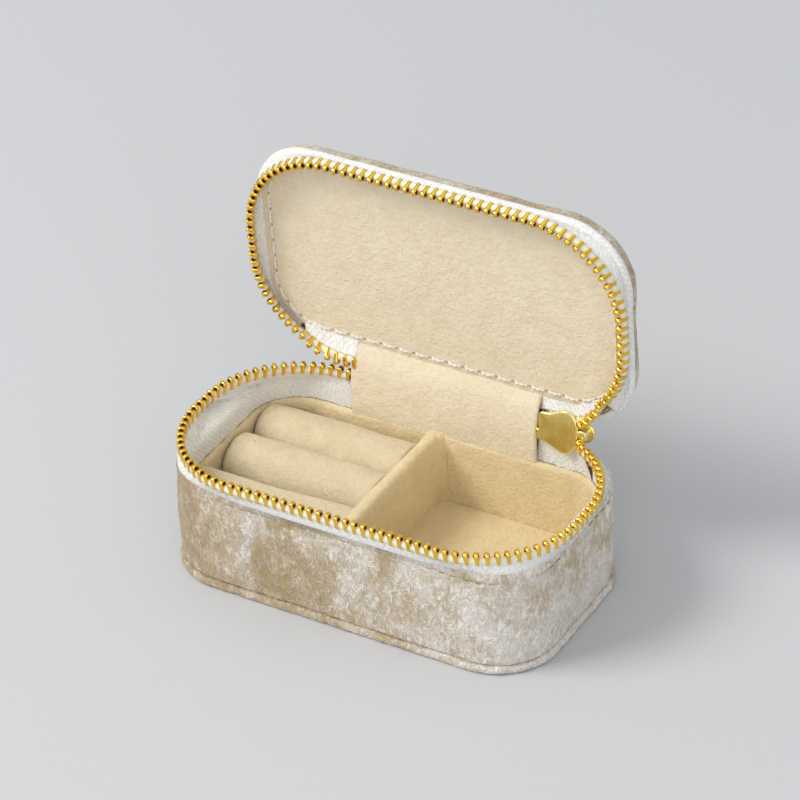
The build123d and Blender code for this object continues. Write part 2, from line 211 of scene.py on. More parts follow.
def smooth_path(points, steps):
    """A smooth curve through points of any dimension."""
    result = []
    count = len(points)
    for index in range(count - 1):
        p0 = points[max(index - 1, 0)]
        p1, p2 = points[index], points[index + 1]
        p3 = points[min(index + 2, count - 1)]
        for step in range(steps):
            t = step / steps
            weights = (-0.5 * t ** 3 + t ** 2 - 0.5 * t, 1.5 * t ** 3 - 2.5 * t ** 2 + 1,
                       -1.5 * t ** 3 + 2 * t ** 2 + 0.5 * t, 0.5 * t ** 3 - 0.5 * t ** 2)
            result.append(tuple(sum(w * p[axis] for w, p in zip(weights, (p0, p1, p2, p3)))
                                for axis in range(len(p1))))
    result.append(tuple(points[-1]))
    return result


def distances(points):
    """Running length along points."""
    total = [0.0]
    for a, b in zip(points, points[1:]):
        total.append(total[-1] + sqrt(sum((q - p) ** 2 for p, q in zip(a, b))))
    return total


def along_path(points, pitch, first=0.0):
    """Places and directions at an even pitch along a curve."""
    runs = distances(points)
    places = []
    run = first
    index = 0
    while run <= runs[-1]:
        while index < len(runs) - 2 and runs[index + 1] < run:
            index += 1
        share = (run - runs[index]) / (runs[index + 1] - runs[index])
        a, b = Vector(points[index]), Vector(points[index + 1])
        places.append((a.lerp(b, share), (b - a).normalized(), run / runs[-1]))
        run += pitch
    return places


def clamped(value):
    """A value held between 0 and 1."""
    return min(1.0, max(0.0, value))


def eased(share):
    """A share from 0 to 1 that starts and ends gently."""
    return share * share * (3 - 2 * share)


def inset(row, amount):
    """The same outline, smaller by an amount all round."""
    return dict(row, length=row["length"] - 2 * amount, width=row["width"] - 2 * amount,
                radius=row["radius"] - amount)


def wobble(point, span, amount):
    """A small smooth unevenness at a point."""
    return noise.noise(Vector(point) / span) * amount


def opened(x, y, z):
    """Turn a point of the shut lid to the open lid."""
    turn = radians(OPEN_ANGLE)
    dy, dz = y - HINGE_Y, z - HINGE_Z
    return x, HINGE_Y + dy * cos(turn) + dz * sin(turn), HINGE_Z - dy * sin(turn) + dz * cos(turn)


def on_slider(x, depth, up):
    """Place a point given about the slider's front face."""
    lean = radians(SLIDER_LEAN)
    return (x, SLIDER_Y + depth * cos(lean) + up * sin(lean),
            SLIDER_Z - depth * sin(lean) + up * cos(lean))


def as_is(x, y, z):
    """Leave a point where it is."""
    return x, y, z


def make_object(name, points, faces, uvs=None, cup=None):
    """A smooth mesh object from points in mm, with its faces turned outward."""
    mesh = bpy.data.meshes.new(name)
    mesh.from_pydata([[value * MM for value in point] for point in points], [], faces)
    if uvs:
        layer = mesh.uv_layers.new(name="UVMap")
        layer.data.foreach_set("uv", [value for uv in uvs for value in uv])
    if cup:
        mesh.attributes.new("cup", "FLOAT", "POINT").data.foreach_set("value", cup)
    mesh.polygons.foreach_set("use_smooth", [True] * len(mesh.polygons))
    shape = bmesh.new()
    shape.from_mesh(mesh)
    bmesh.ops.recalc_face_normals(shape, faces=shape.faces)
    shape.to_mesh(mesh)
    shape.free()
    obj = bpy.data.objects.new(name, mesh)
    bpy.context.scene.collection.objects.link(obj)
    return obj


def grid(name, rows, closed=False, caps=(False, False)):
    """A mesh through rows of points. UVs are real lengths in mm."""
    columns = len(rows[0])
    middle = rows[len(rows) // 2]
    u = distances(list(middle) + [middle[0]])
    v = distances([row[0] for row in rows])
    points = [point for row in rows for point in row]
    faces, uvs = [], []
    for r in range(len(rows) - 1):
        for c in range(columns if closed else columns - 1):
            d = (c + 1) % columns
            faces.append((r * columns + c, r * columns + d, (r + 1) * columns + d,
                          (r + 1) * columns + c))
            uvs += [(u[c], v[r]), (u[c + 1], v[r]), (u[c + 1], v[r + 1]), (u[c], v[r + 1])]
    if caps[0]:
        faces.append(tuple(reversed(range(columns))))
        uvs += [(point[0], point[1]) for point in reversed(rows[0])]
    if caps[1]:
        start = (len(rows) - 1) * columns
        faces.append(tuple(range(start, start + columns)))
        uvs += [(point[0], point[1]) for point in rows[-1]]
    return make_object(name, points, faces, uvs)


def sweep_rows(loop, profile, place=as_is, rough=0.0, rough_span=9.0):
    """Rows of points from a profile of (outward offset, height) carried round a loop."""
    rows = []
    for offset, height in profile:
        row = []
        for x, y, nx, ny in loop:
            push = offset + wobble((x, y, height), rough_span, rough)
            push += wobble((x, y, height + 50), rough_span / 3, rough * 0.45)
            row.append(place(x + nx * push, y + ny * push, height))
        rows.append(row)
    return rows


def pillow(name, loop, profile, crown=0.0, place=as_is, rough=0.0, rings=9, floor=True):
    """A closed soft block: the profile is swept round the loop and its top is domed over."""
    rows = sweep_rows(loop, profile, place, rough)
    cx = sum(p[0] for p in loop) / len(loop)
    cy = sum(p[1] for p in loop) / len(loop)
    offset, height = profile[-1]
    for index in range(1, rings + 1):
        scale = 1 - index / (rings + 0.15)
        row = []
        for x, y, nx, ny in loop:
            px = cx + (x + nx * offset - cx) * scale
            py = cy + (y + ny * offset - cy) * scale
            rise = crown * (1 - scale ** 2.5) + wobble((px, py, height), 8.0, rough)
            row.append(place(px, py, height + rise))
        rows.append(row)
    return grid(name, rows, closed=True, caps=(floor, True))


def tube(name, frames, wide, high, sides=10):
    """A tube of oval section along frames of (centre, sideways, up)."""
    rows = []
    for centre, sideways, up in frames:
        rows.append([tuple(centre + sideways * wide * cos(2 * pi * k / sides)
                           + up * high * sin(2 * pi * k / sides)) for k in range(sides)])
    return grid(name, rows, closed=True, caps=(True, True))


def joined(name, objects):
    """Several mesh objects as one."""
    bpy.ops.object.select_all(action="DESELECT")
    for obj in objects:
        obj.select_set(True)
    bpy.context.view_layer.objects.active = objects[0]
    bpy.ops.object.join()
    objects[0].name = name
    return objects[0]


def thicken(obj, thick):
    """Give a cloth surface its two faces and edges."""
    solid = obj.modifiers.new("thickness", "SOLIDIFY")
    solid.thickness = thick * MM
    solid.offset = 0.0
    return obj


def apply_modifiers(obj):
    """Turn the modified shape into the object's own mesh."""
    graph = bpy.context.evaluated_depsgraph_get()
    obj.data = bpy.data.meshes.new_from_object(obj.evaluated_get(graph))
    obj.modifiers.clear()
    return obj


# ---------------------------------------------------------------- materials

class Nodes:
    """A material's node tree, with short calls for the nodes used here."""

    def __init__(self, name):
        self.material = bpy.data.materials.new(name)
        self.material.use_nodes = True
        self.tree = self.material.node_tree
        self.shader = self.tree.nodes["Principled BSDF"]

    def add(self, kind, **settings):
        """A new node with its settings."""
        node = self.tree.nodes.new(kind)
        for key, value in settings.items():
            setattr(node, key, value)
        return node

    def link(self, source, target):
        """Join an output to an input."""
        self.tree.links.new(source, target)

    def place(self, kind="Object", scale=(1, 1, 1), turn=(0, 0, 0)):
        """Surface coordinates, stretched and turned."""
        mapping = self.add("ShaderNodeMapping")
        mapping.inputs["Scale"].default_value = scale
        mapping.inputs["Rotation"].default_value = [radians(value) for value in turn]
        self.link(self.add("ShaderNodeTexCoord").outputs[kind], mapping.inputs["Vector"])
        return mapping.outputs["Vector"]

    def noise(self, vector, scale, detail=3.0, rough=0.5, distortion=0.0):
        """Smooth random patches; the scale is in patches per metre, or per mm on UVs."""
        node = self.add("ShaderNodeTexNoise")
        self.link(vector, node.inputs["Vector"])
        node.inputs["Scale"].default_value = scale
        node.inputs["Detail"].default_value = detail
        node.inputs["Roughness"].default_value = rough
        node.inputs["Distortion"].default_value = distortion
        return node.outputs["Fac"]

    def wave(self, vector, scale, distortion, direction):
        """Even bands, such as ribs or the turns of a thread."""
        node = self.add("ShaderNodeTexWave", bands_direction=direction)
        self.link(vector, node.inputs["Vector"])
        node.inputs["Scale"].default_value = scale
        node.inputs["Distortion"].default_value = distortion
        node.inputs["Detail Scale"].default_value = 2.0
        return node.outputs["Fac"]

    def math(self, operation, a, b=0.0, clamp=False):
        """Arithmetic on numbers or sockets."""
        node = self.add("ShaderNodeMath", operation=operation, use_clamp=clamp)
        for socket, value in zip(node.inputs, (a, b)):
            if isinstance(value, (int, float)):
                socket.default_value = value
            else:
                self.link(value, socket)
        return node.outputs[0]

    def span(self, value, low, high, to_low=0.0, to_high=1.0):
        """Carry one range of values over to another."""
        node = self.add("ShaderNodeMapRange")
        self.link(value, node.inputs["Value"])
        for key, number in (("From Min", low), ("From Max", high), ("To Min", to_low),
                            ("To Max", to_high)):
            node.inputs[key].default_value = number
        return node.outputs["Result"]

    def ramp(self, value, *stops):
        """Colours at positions, as (position, (r, g, b))."""
        node = self.add("ShaderNodeValToRGB")
        elements = node.color_ramp.elements
        while len(elements) < len(stops):
            elements.new(0.5)
        for element, (position, colour) in zip(elements, stops):
            element.position = position
            element.color = (*colour, 1)
        self.link(value, node.inputs["Fac"])
        return node.outputs["Color"]

    def mix(self, share, a, b):
        """Blend two colours, by a number or a socket."""
        node = self.add("ShaderNodeMix", data_type="RGBA")
        for socket, value in ((node.inputs[0], share), (node.inputs[6], a), (node.inputs[7], b)):
            if isinstance(value, tuple):
                socket.default_value = (*value, 1)
            elif isinstance(value, (int, float)):
                socket.default_value = value
            else:
                self.link(value, socket)
        return node.outputs[2]

    def bump(self, *layers):
        """Stack bumps of (height, distance in mm, strength) on the shader."""
        normal = None
        for height, distance, strength in layers:
            node = self.add("ShaderNodeBump")
            node.inputs["Strength"].default_value = strength
            node.inputs["Distance"].default_value = distance * MM
            self.link(height, node.inputs["Height"])
            if normal:
                self.link(normal, node.inputs["Normal"])
            normal = node.outputs["Normal"]
        self.link(normal, self.shader.inputs["Normal"])

    def set(self, **values):
        """Set the shader's own sockets, or link them."""
        for key, value in values.items():
            socket = self.shader.inputs[key.replace("_", " ")]
            if isinstance(value, tuple):
                socket.default_value = (*value, 1)
            elif isinstance(value, (int, float)):
                socket.default_value = value
            else:
                self.link(value, socket)


def velvet(name, silver):
    """Crushed velvet: patches of pile that lie different ways, tan in one and silvery in another. The
    patches are the cloth's own pattern; their silvery colour, the lighter right end and the pale curly
    streaks are painted sheen.
    """
    n = Nodes(name)
    where = n.place()
    patches = n.noise(where, 62, 4, 0.62, 1.0)
    broken = n.noise(n.place(scale=(1, 1, 0.6), turn=(0, 28, 12)), 420, 4, 0.65, 2.2)
    axes = n.add("ShaderNodeSeparateXYZ")
    n.link(where, axes.inputs[0])
    # Painted sheen: the velvet is made lighter toward its right end.
    painted_sheen_toward_end = n.span(axes.outputs["X"], -50 * MM, 46 * MM, -0.8 * silver, silver)
    pile = n.math("ADD", n.math("MULTIPLY", patches, 0.62), n.math("MULTIPLY", broken, 0.38))
    pile = n.math("ADD", pile, painted_sheen_toward_end)
    # Tan to pale grey-white; the pale end is painted sheen on the crushed pile.
    colour = n.ramp(pile, (0.38, (0.37, 0.265, 0.135)), (0.47, (0.45, 0.345, 0.20)),
                    (0.55, (0.54, 0.45, 0.335)), (0.66, (0.70, 0.655, 0.59)))
    strands = None
    for scale, turn in ((460, (10, -35, 20)), (640, (-25, 40, -15))):
        curl = n.noise(n.place(scale=(1, 1, 0.5), turn=turn), scale, 1.5, 0.5, 0.8)
        ridge = n.span(n.math("ABSOLUTE", n.math("SUBTRACT", curl, 0.5)), 0.0, 0.05, 1.0, 0.0)
        strands = ridge if strands is None else n.math("MAXIMUM", strands, ridge)
    # Painted sheen: pale curly streaks, strongest in the lighter patches.
    painted_sheen_streaks = n.math("MULTIPLY", strands, n.span(pile, 0.42, 0.60, 0.15, 0.8), clamp=True)
    colour = n.mix(painted_sheen_streaks, colour, (0.88, 0.835, 0.77))
    hair = n.noise(n.place(scale=(1, 1, 0.35), turn=(15, 20, 0)), 2400, 3, 0.6, 1.0)
    n.bump((broken, 0.5, 0.5), (strands, 0.3, 0.7), (hair, 0.12, 0.7))
    n.set(Base_Color=colour, Roughness=n.span(pile, 0.42, 0.62, 0.85, 0.55), Sheen_Weight=0.4,
          Sheen_Roughness=0.35, Sheen_Tint=(0.98, 0.95, 0.88), Specular_IOR_Level=0.3)
    return n.material


def suede(name, tint, shade):
    """Brushed microfibre: short curly pile with fine dark partings and faint mottling."""
    n = Nodes(name)
    where = n.place()
    mottle = n.noise(where, 210, 3, 0.55, 0.4)
    curls = n.noise(where, 760, 1.5, 0.5, 0.7)
    parting = n.math("ABSOLUTE", n.math("SUBTRACT", curls, 0.5))
    line = n.span(parting, 0.0, 0.05, 1.0, 0.0)
    thinned = n.math("MULTIPLY", line, n.span(n.noise(where, 330, 1), 0.36, 0.56), clamp=True)
    colour = n.ramp(mottle, (0.3, shade), (0.68, tint))
    colour = n.mix(n.math("MULTIPLY", thinned, 0.4), colour, tuple(v * 0.76 for v in shade))
    pile = n.noise(where, 2400, 4, 0.65, 0.8)
    colour = n.mix(n.span(pile, 0.35, 0.7, 0.0, 0.35), colour, tuple(min(1.0, v * 1.12) for v in tint))
    n.bump((curls, 0.42, 0.85), (pile, 0.2, 0.9), (mottle, 0.3, 0.35))
    n.set(Base_Color=colour, Roughness=n.span(pile, 0.3, 0.7, 0.97, 0.86), Sheen_Weight=0.35,
          Sheen_Roughness=0.5, Sheen_Tint=(1.0, 0.95, 0.85), Specular_IOR_Level=0.2)
    return n.material


def twill():
    """Woven zipper tape: soft diagonal ribs half hidden by stray fibres."""
    n = Nodes("twill_tape")
    flat = n.place("UV")
    ribs = n.wave(flat, 0.42, 6.0, "DIAGONAL")
    picks = n.wave(flat, 1.9, 1.2, "X")
    fuzz = n.noise(n.place("UV", scale=(1, 0.4, 1), turn=(0, 0, 40)), 2.4, 4, 0.7, 1.6)
    weave = n.math("ADD", n.math("MULTIPLY", ribs, 0.38), n.math("MULTIPLY", fuzz, 0.7))
    colour = n.ramp(weave, (0.2, (0.74, 0.715, 0.65)), (0.45, (0.92, 0.91, 0.875)),
                    (0.8, (0.985, 0.98, 0.96)))
    n.bump((weave, 0.25, 0.7), (picks, 0.08, 0.3), (fuzz, 0.2, 0.7))
    n.set(Base_Color=colour, Roughness=n.span(fuzz, 0.3, 0.7, 0.85, 0.6), Sheen_Weight=0.3,
          Sheen_Roughness=0.4, Specular_IOR_Level=0.3)
    return n.material


def bead_cord():
    """The pale cord that the teeth are clamped on."""
    n = Nodes("bead_cord")
    flat = n.place("UV")
    turns = n.wave(flat, 1.1, 0.8, "DIAGONAL")
    fuzz = n.noise(flat, 3.0, 3, 0.6)
    colour = n.ramp(turns, (0.1, (0.86, 0.80, 0.58)), (0.8, (0.95, 0.92, 0.77)))
    n.bump((turns, 0.14, 0.7), (fuzz, 0.12, 0.5))
    n.set(Base_Color=colour, Roughness=n.span(fuzz, 0.3, 0.7, 0.7, 0.5), Sheen_Weight=0.2)
    return n.material


def thread(name, light, dark):
    """Sewing thread with its twist."""
    n = Nodes(name)
    turns = n.wave(n.place("UV"), 2.2, 0.4, "DIAGONAL")
    n.bump((turns, 0.06, 0.7))
    n.set(Base_Color=n.ramp(turns, (0.1, dark), (0.7, light)),
          Roughness=n.span(turns, 0, 1, 0.65, 0.45), Sheen_Weight=0.3)
    return n.material


def gold(name, tint, deep, rough, painted_cup_shade=False):
    """Polished yellow plating with faint smears, brighter where edges are rubbed."""
    n = Nodes(name)
    where = n.place()
    smear = n.noise(where, 260, 3, 0.6, 0.5)
    grit = n.noise(where, 3800, 2)
    worn = n.span(n.add("ShaderNodeNewGeometry").outputs["Pointiness"], 0.5, 0.58)
    colour = n.ramp(smear, (0.3, deep), (0.6, tint))
    colour = n.mix(n.math("MULTIPLY", worn, 0.3), colour, (0.99, 0.82, 0.36))
    if painted_cup_shade:
        # Painted shade: the cup's hollow is coloured nearly black.
        cup = n.add("ShaderNodeAttribute", attribute_name="cup").outputs["Fac"]
        colour = n.mix(cup, colour, (0.05, 0.016, 0.004))
    n.bump((grit, 0.008, 0.2))
    n.set(Base_Color=colour, Metallic=1.0, Roughness=n.span(smear, 0.3, 0.7, rough * 0.8, rough * 1.5))
    return n.material


def board():
    """Grey pressed card with flecks."""
    n = Nodes("pressed_card")
    where = n.place()
    pulp = n.noise(where, 900, 5, 0.7)
    fleck = n.noise(where, 2600, 2, 0.5)
    n.bump((pulp, 0.08, 0.5), (fleck, 0.03, 0.5))
    n.set(Base_Color=n.ramp(pulp, (0.3, (0.26, 0.21, 0.15)), (0.7, (0.42, 0.36, 0.28))),
          Roughness=n.span(fleck, 0.3, 0.7, 0.95, 0.8))
    return n.material


def foam():
    """Open-cell foam."""
    n = Nodes("cream_foam")
    cells = n.add("ShaderNodeTexVoronoi")
    n.link(n.place(), cells.inputs["Vector"])
    cells.inputs["Scale"].default_value = 1500
    depth = cells.outputs["Distance"]
    n.bump((depth, 0.25, 0.8))
    n.set(Base_Color=n.ramp(depth, (0.1, (0.62, 0.57, 0.46)), (0.6, (0.83, 0.79, 0.68))),
          Roughness=n.span(depth, 0, 1, 0.95, 0.8))
    return n.material


def backdrop():
    """Pale matt paper."""
    n = Nodes("pale_floor")
    grain = n.noise(n.place(), 700, 3)
    n.bump((grain, 0.04, 0.2))
    n.set(Base_Color=n.ramp(grain, (0.2, (0.55, 0.555, 0.565)), (0.8, (0.565, 0.57, 0.58))),
          Roughness=n.span(grain, 0, 1, 0.9, 0.8), Specular_IOR_Level=0.15)
    return n.material


# The second number sets how much painted sheen lightens each velvet toward its right end.
VELVET = velvet("crushed_velvet", 0.09)
LID_VELVET = velvet("lid_crushed_velvet", -0.015)
SUEDE = suede("tray_suede", (0.79, 0.66, 0.405), (0.72, 0.57, 0.325))
# Painted light: a less yellow copy of the tray suede, toned to how the up-facing rolls and ledge look where
# the light falls on them.
TOP_LIT_SUEDE = suede("top_lit_suede", (0.70, 0.60, 0.41), (0.63, 0.52, 0.335))
LINING_SUEDE = suede("lining_suede", (0.80, 0.70, 0.52), (0.735, 0.625, 0.44))
TWILL = twill()
BEAD = bead_cord()
WHITE_THREAD = thread("white_thread", (0.97, 0.955, 0.92), (0.84, 0.80, 0.72))
TAN_THREAD = thread("tan_thread", (0.50, 0.39, 0.24), (0.28, 0.19, 0.10))
# Painted shade: dark brown for the needle holes, standing in for the shade inside them.
NEEDLE_HOLE_SHADE = suede("needle_hole_painted_shade", (0.42, 0.24, 0.09), (0.30, 0.16, 0.05))
# Tooth gold with painted shade in the cups.
TOOTH_GOLD = gold("tooth_gold", (0.95, 0.63, 0.08), (0.82, 0.47, 0.035), 0.16, painted_cup_shade=True)
SLIDER_GOLD = gold("slider_gold", (1.0, 0.90, 0.40), (1.0, 0.85, 0.31), 0.24)
CARD = board()
FOAM = foam()


def finish_piece(obj, material, body=None, nodes=()):
    """Give a piece its material, its body and the nodes it stands for."""
    obj.data.materials.clear()
    obj.data.materials.append(material)
    if body:
        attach(obj, body)
    if nodes:
        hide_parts(*nodes)
    return obj


# ---------------------------------------------------------------- shell of the base

def leaned_out(x, y, z):
    """Lean the top of the velvet wall out under the tooth row, along its front and its ends."""
    rise = clamped((z - 25.6) / 2.8) ** 1.5
    front = rise * clamped((36 - abs(x)) / 12) if y < 0 else 0.0
    ends = rise * clamped((15 - abs(y + 2)) / 9)
    lean = WALL_LEAN_ENDS * ends
    return x + (lean if x > 0 else -lean), y - WALL_LEAN_FRONT * front, z


def bottom_panel():
    """Velvet-covered bottom, with a soft lip that stands proud of the wall."""
    lip = smooth_path([(-1.4, 0.02), (-0.75, 0.05), (-0.15, 0.4), (0.05, 1.1), (-0.1, 1.75),
                       (-0.55, 2.15), (-1.4, PANEL_TOP)], 3)
    panel = pillow("bottom_velvet_panel_cloth", outline(PANEL, 4), lip, rough=0.0, rings=5)
    for vertex in panel.data.vertices:
        point = vertex.co / MM
        out = Vector((point.x, point.y * 1.6, 0)).normalized()
        vertex.co += out * (wobble(point, 2.2, 0.22) + wobble(point, 0.8, 0.16)) * MM
        if point.z > 0.5:
            vertex.co.z += wobble(point + Vector((9, 0, 0)), 3.0, 0.16) * MM
    finish_piece(panel, VELVET, "base", ["bottom_velvet_panel"])


def velvet_wall():
    """Velvet skin of the wall, drawn in at its seam and turned over at the top."""
    profile = smooth_path([(-1.0, PANEL_TOP - 0.1), (-0.45, 2.3), (-0.05, 2.9), (0.1, 4.5), (0.3, 9),
                           (0.35, 15), (0.25, 21), (0.1, 24.2), (0.04, SEAM_Z - 0.5),
                           (-0.12, SEAM_Z), (0.06, SEAM_Z + 0.45), (0.14, SEAM_Z + 1.1), (0.05, 27.4),
                           (-0.2, 28.15), (-0.7, WALL_TOP - 0.1), (-1.35, WALL_TOP - 0.15),
                           (-1.85, 28.1), (-1.95, 27.2)], 4)
    rows = sweep_rows(outline(WALL, 6), profile, place=leaned_out, rough=0.32, rough_span=8.0)
    wall = grid("base_velvet_cloth", rows, closed=True)
    for vertex in wall.data.vertices:
        point = vertex.co / MM
        out = Vector((point.x, point.y * 1.5, 0)).normalized()
        vertex.co += out * (wobble(point, 1.6, 0.14) + wobble(point, 0.7, 0.08)) * MM
    finish_piece(wall, VELVET, "base", ["base_velvet_wall"])


def stitch(points, frame_at, length, thick, proud):
    """Add one twisted two-ply stitch, which dives into the cloth at both ends."""
    centre, along, out = frame_at
    side = along.cross(out)
    steps, sides, sink = 9, 6, 0.15
    base = len(points[0])
    for ply in (0, pi):
        for step in range(steps + 1):
            t = step / steps
            arch = proud - (proud + sink) * abs(2 * t - 1) ** 3.5
            twist = ply + t * 2.4 * pi
            middle = (centre + along * length * (t - 0.5)
                      + out * (arch + 0.28 * thick * sin(twist)) + side * 0.28 * thick * cos(twist))
            for k in range(sides):
                angle = 2 * pi * k / sides
                points[0].append(tuple(middle + out * 0.3 * thick * sin(angle)
                                       + side * 0.3 * thick * cos(angle)))
        for step in range(steps):
            for k in range(sides):
                a = base + step * sides + k
                b = base + step * sides + (k + 1) % sides
                points[1].append((a, b, b + sides, a + sides))
                points[2].extend([(0.3 * k, step * 0.3), (0.3 * (k + 1), step * 0.3),
                                  (0.3 * (k + 1), (step + 1) * 0.3), (0.3 * k, (step + 1) * 0.3)])
        base = len(points[0])


def dimple(points, centre, along, out, wide, deep, rise):
    """Add a small flattened bead, the mark a needle leaves."""
    side = along.cross(out)
    base = len(points[0])
    sides, rings = 8, 3
    for ring in range(rings):
        angle = pi / 2 * ring / rings
        for k in range(sides):
            spin = 2 * pi * k / sides
            points[0].append(tuple(centre + along * wide * cos(angle) * cos(spin)
                                   + side * deep * cos(angle) * sin(spin) + out * rise * sin(angle)))
    points[0].append(tuple(centre + out * rise))
    for ring in range(rings - 1):
        for k in range(sides):
            a, b = base + ring * sides + k, base + ring * sides + (k + 1) % sides
            points[1].append((a, b, b + sides, a + sides))
    top = len(points[0]) - 1
    for k in range(sides):
        a = base + (rings - 1) * sides + k
        b = base + (rings - 1) * sides + (k + 1) % sides
        points[1].append((a, b, top))


def base_seam():
    """Thread of the seam under the zipper; it sinks into the pile and shows as short dashes."""
    seam = inset(WALL, 0.25)
    total = sum(legs(seam))
    count = round(total / 3.1)
    threads, holes = ([], [], []), ([], [])
    for index in range(count):
        x, y, heading = row_point(seam, total * index / count)
        along = Vector((cos(heading), sin(heading), 0))
        out = Vector((-sin(heading), cos(heading), 0))
        centre = Vector((x, y, SEAM_Z))
        sunk = 0.3 * clamped((30 - x) / 10)
        stitch(threads, (centre, along, out), 1.9, 0.42, 0.12 + wobble(centre, 11, 0.4) - sunk)
        dimple(holes, centre + along * 1.5, along, out, 0.36, 0.16, 0.1 - sunk * 0.3)
    obj = make_object("base_seam_thread", threads[0], threads[1], threads[2])
    finish_piece(obj, TAN_THREAD, "base", ["base_seam_stitches"])
    # Needle marks coloured as painted shade of the holes.
    marks = make_object("base_seam_needle_marks", holes[0], holes[1])
    finish_piece(marks, NEEDLE_HOLE_SHADE, "base")


# ---------------------------------------------------------------- tray

def sag(x):
    """How far the tray's edge hangs down toward its left end."""
    return TRAY_SAG * eased(clamped((-4.0 - x) / 24))


def hung(x, y, z):
    """Place a point of the tray with its upper edge hanging down on the left."""
    return x, y, z - sag(x) * clamped((z - 14) / 7)


def tray_wall():
    """Suede wall of the tray, rolled over at its upper edge."""
    top = TRAY_TOP
    profile = smooth_path([(-1.7, FLOOR_Z + 0.2), (-1.62, 8), (-1.6, 16), (-1.64, top - 1.8),
                           (-1.5, top - 0.75), (-1.15, top - 0.15), (-0.75, top), (-0.35, top - 0.2),
                           (-0.08, top - 0.9), (-0.06, 17)], 4)
    rows = sweep_rows(outline(HOLLOW, 3), profile, place=hung, rough=0.09, rough_span=6.0)
    lining = finish_piece(grid("tray_wall_suede", rows, closed=True), SUEDE, "base",
                          ["tray_lining_wall"])


def tray_divider():
    """Suede folded over the divider, flared where it meets the tray's wall."""
    x0, x1 = reach("tray_divider", 0)
    half_width = size("tray_divider", 1) / 2 + 0.35
    middle = (x0 + x1) / 2
    top = TRAY_TOP + 0.35
    section = smooth_path([(x1 - 0.02, FLOOR_Z + 0.3), (x1, 10), (x1, 18), (x1 - 0.05, top - 2.1),
                           (x1 - 0.45, top - 0.7), (middle + 0.6, top - 0.05), (middle - 0.5, top),
                           (x0 + 0.35, top - 0.6), (x0 + 0.02, top - 2.0), (x0 - 0.15, 18),
                           (x0 - 0.15, 5)], 4)
    rows = []
    for step in range(49):
        y = half_width * (1 - 2 * step / 48)
        flare = 1.5 * max(0, (abs(y) - half_width + 2.2) / 2.2) ** 2
        row = []
        for x, z in section:
            widen = flare if x > middle else -0.3 * flare
            row.append((x + widen + wobble((x, y, z), 5, 0.16), y, z + wobble((x, y, z + 30), 6, 0.22)))
        rows.append(row)
    divider = finish_piece(grid("tray_divider_suede", rows), SUEDE, "base", ["tray_divider"])


def compartment_floor():
    """Pad on the floor of the open compartment."""
    low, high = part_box("compartment_floor_pad")
    pad_loop = corner_outline((low.x / MM - 1.0, low.y / MM + 0.1), (high.x / MM - 0.1, high.y / MM - 0.1),
                              (11.2, 11.2, 1.2, 1.2))
    top = high.z / MM
    pad_side = smooth_path([(-0.2, FLOOR_Z + 0.05), (0.0, FLOOR_Z + 0.3), (0.0, top - 0.55),
                            (-0.25, top - 0.2), (-0.8, top)], 3)
    pad = pillow("compartment_floor_suede", pad_loop, pad_side, crown=0.25, rough=0.12)
    finish_piece(pad, SUEDE, "base", ["compartment_floor_pad"])


def fray():
    """Dark broken fibres where the tray's edge meets the tape: partly fuzz of the edge, partly painted shade
    in the crease there.
    """
    rail = outline(HOLLOW, 6)
    picked = random.Random(7)
    points, faces, uvs = [], [], []
    index = 0
    while index < len(rail) - 12:
        length = picked.randint(2, 6)
        thick = picked.uniform(0.08, 0.19)
        base = len(points)
        for step in range(length + 1):
            x, y, nx, ny = rail[index + step]
            taper = thick * (1 - 0.75 * abs(2 * step / length - 1))
            inward = 0.72 + wobble((x * 3, y * 3, index), 2.0, 0.35)
            height = TRAY_TOP + 0.06 - sag(x) + wobble((x * 3, y * 3, index + 70), 2.0, 0.35)
            for k in range(5):
                angle = 2 * pi * k / 5
                push = taper * cos(angle) - inward
                points.append((x + nx * push, y + ny * push, height + taper * sin(angle)))
        for step in range(length):
            for k in range(5):
                a, b = base + step * 5 + k, base + step * 5 + (k + 1) % 5
                faces.append((a, b, b + 5, a + 5))
                uvs += [(k, step), (k + 1, step), (k + 1, step + 1), (k, step + 1)]
        faces.append(tuple(base + k for k in range(5)))
        faces.append(tuple(base + length * 5 + k for k in range(5)))
        uvs += [(0, 0)] * 10
        index += max(1, length - picked.randint(0, 2))
    # The dark thread colour here stands in for shade in the crease: painted shade.
    obj = make_object("tray_edge_fibres_painted_shade", points, faces, uvs)
    finish_piece(obj, TAN_THREAD, "base")


def ring_ledge():
    """The flat stuffed ledge in front of the ring rolls."""
    low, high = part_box("ring_front_ledge")
    x0, x1, y0, y1 = low.x / MM, high.x / MM, low.y / MM, high.y / MM
    top = high.z / MM - 0.1
    front_left = min(11.3, y1 - y0 + 0.35 - 2.0)
    loop = corner_outline((x0 - 0.3, y0 - 0.35), (x1 + 1.6, y1), (1.6, 1.6, front_left, 1.6), spacing=1.2)
    side = smooth_path([(-0.3, FLOOR_Z + 0.05), (0.0, FLOOR_Z + 0.5), (0.0, 15.0), (0.0, top - 1.5),
                        (-0.12, top - 0.75), (-0.5, top - 0.22), (-1.2, top)], 3)
    pad = pillow("ring_ledge_suede", loop, side, crown=0.15, place=hung, rough=0.14, rings=10)
    finish_piece(pad, TOP_LIT_SUEDE, "base", ["ring_front_ledge"])


def ring_bed():
    """The bed that the ring rolls lie on."""
    low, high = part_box("ring_roll_bed")
    loop = corner_outline((low.x / MM + 0.1, low.y / MM), (high.x / MM + 0.8, high.y / MM - 0.1),
                          (0.8, 0.8, 0.8, 11.2))
    top = high.z / MM
    side = [(-0.2, FLOOR_Z), (0, FLOOR_Z + 0.4), (0, top - 0.5), (-0.4, top - 0.1)]
    bed = pillow("ring_bed_suede", loop, side, crown=0.1, rough=0.08)
    finish_piece(bed, SUEDE, "base", ["ring_roll_bed"])


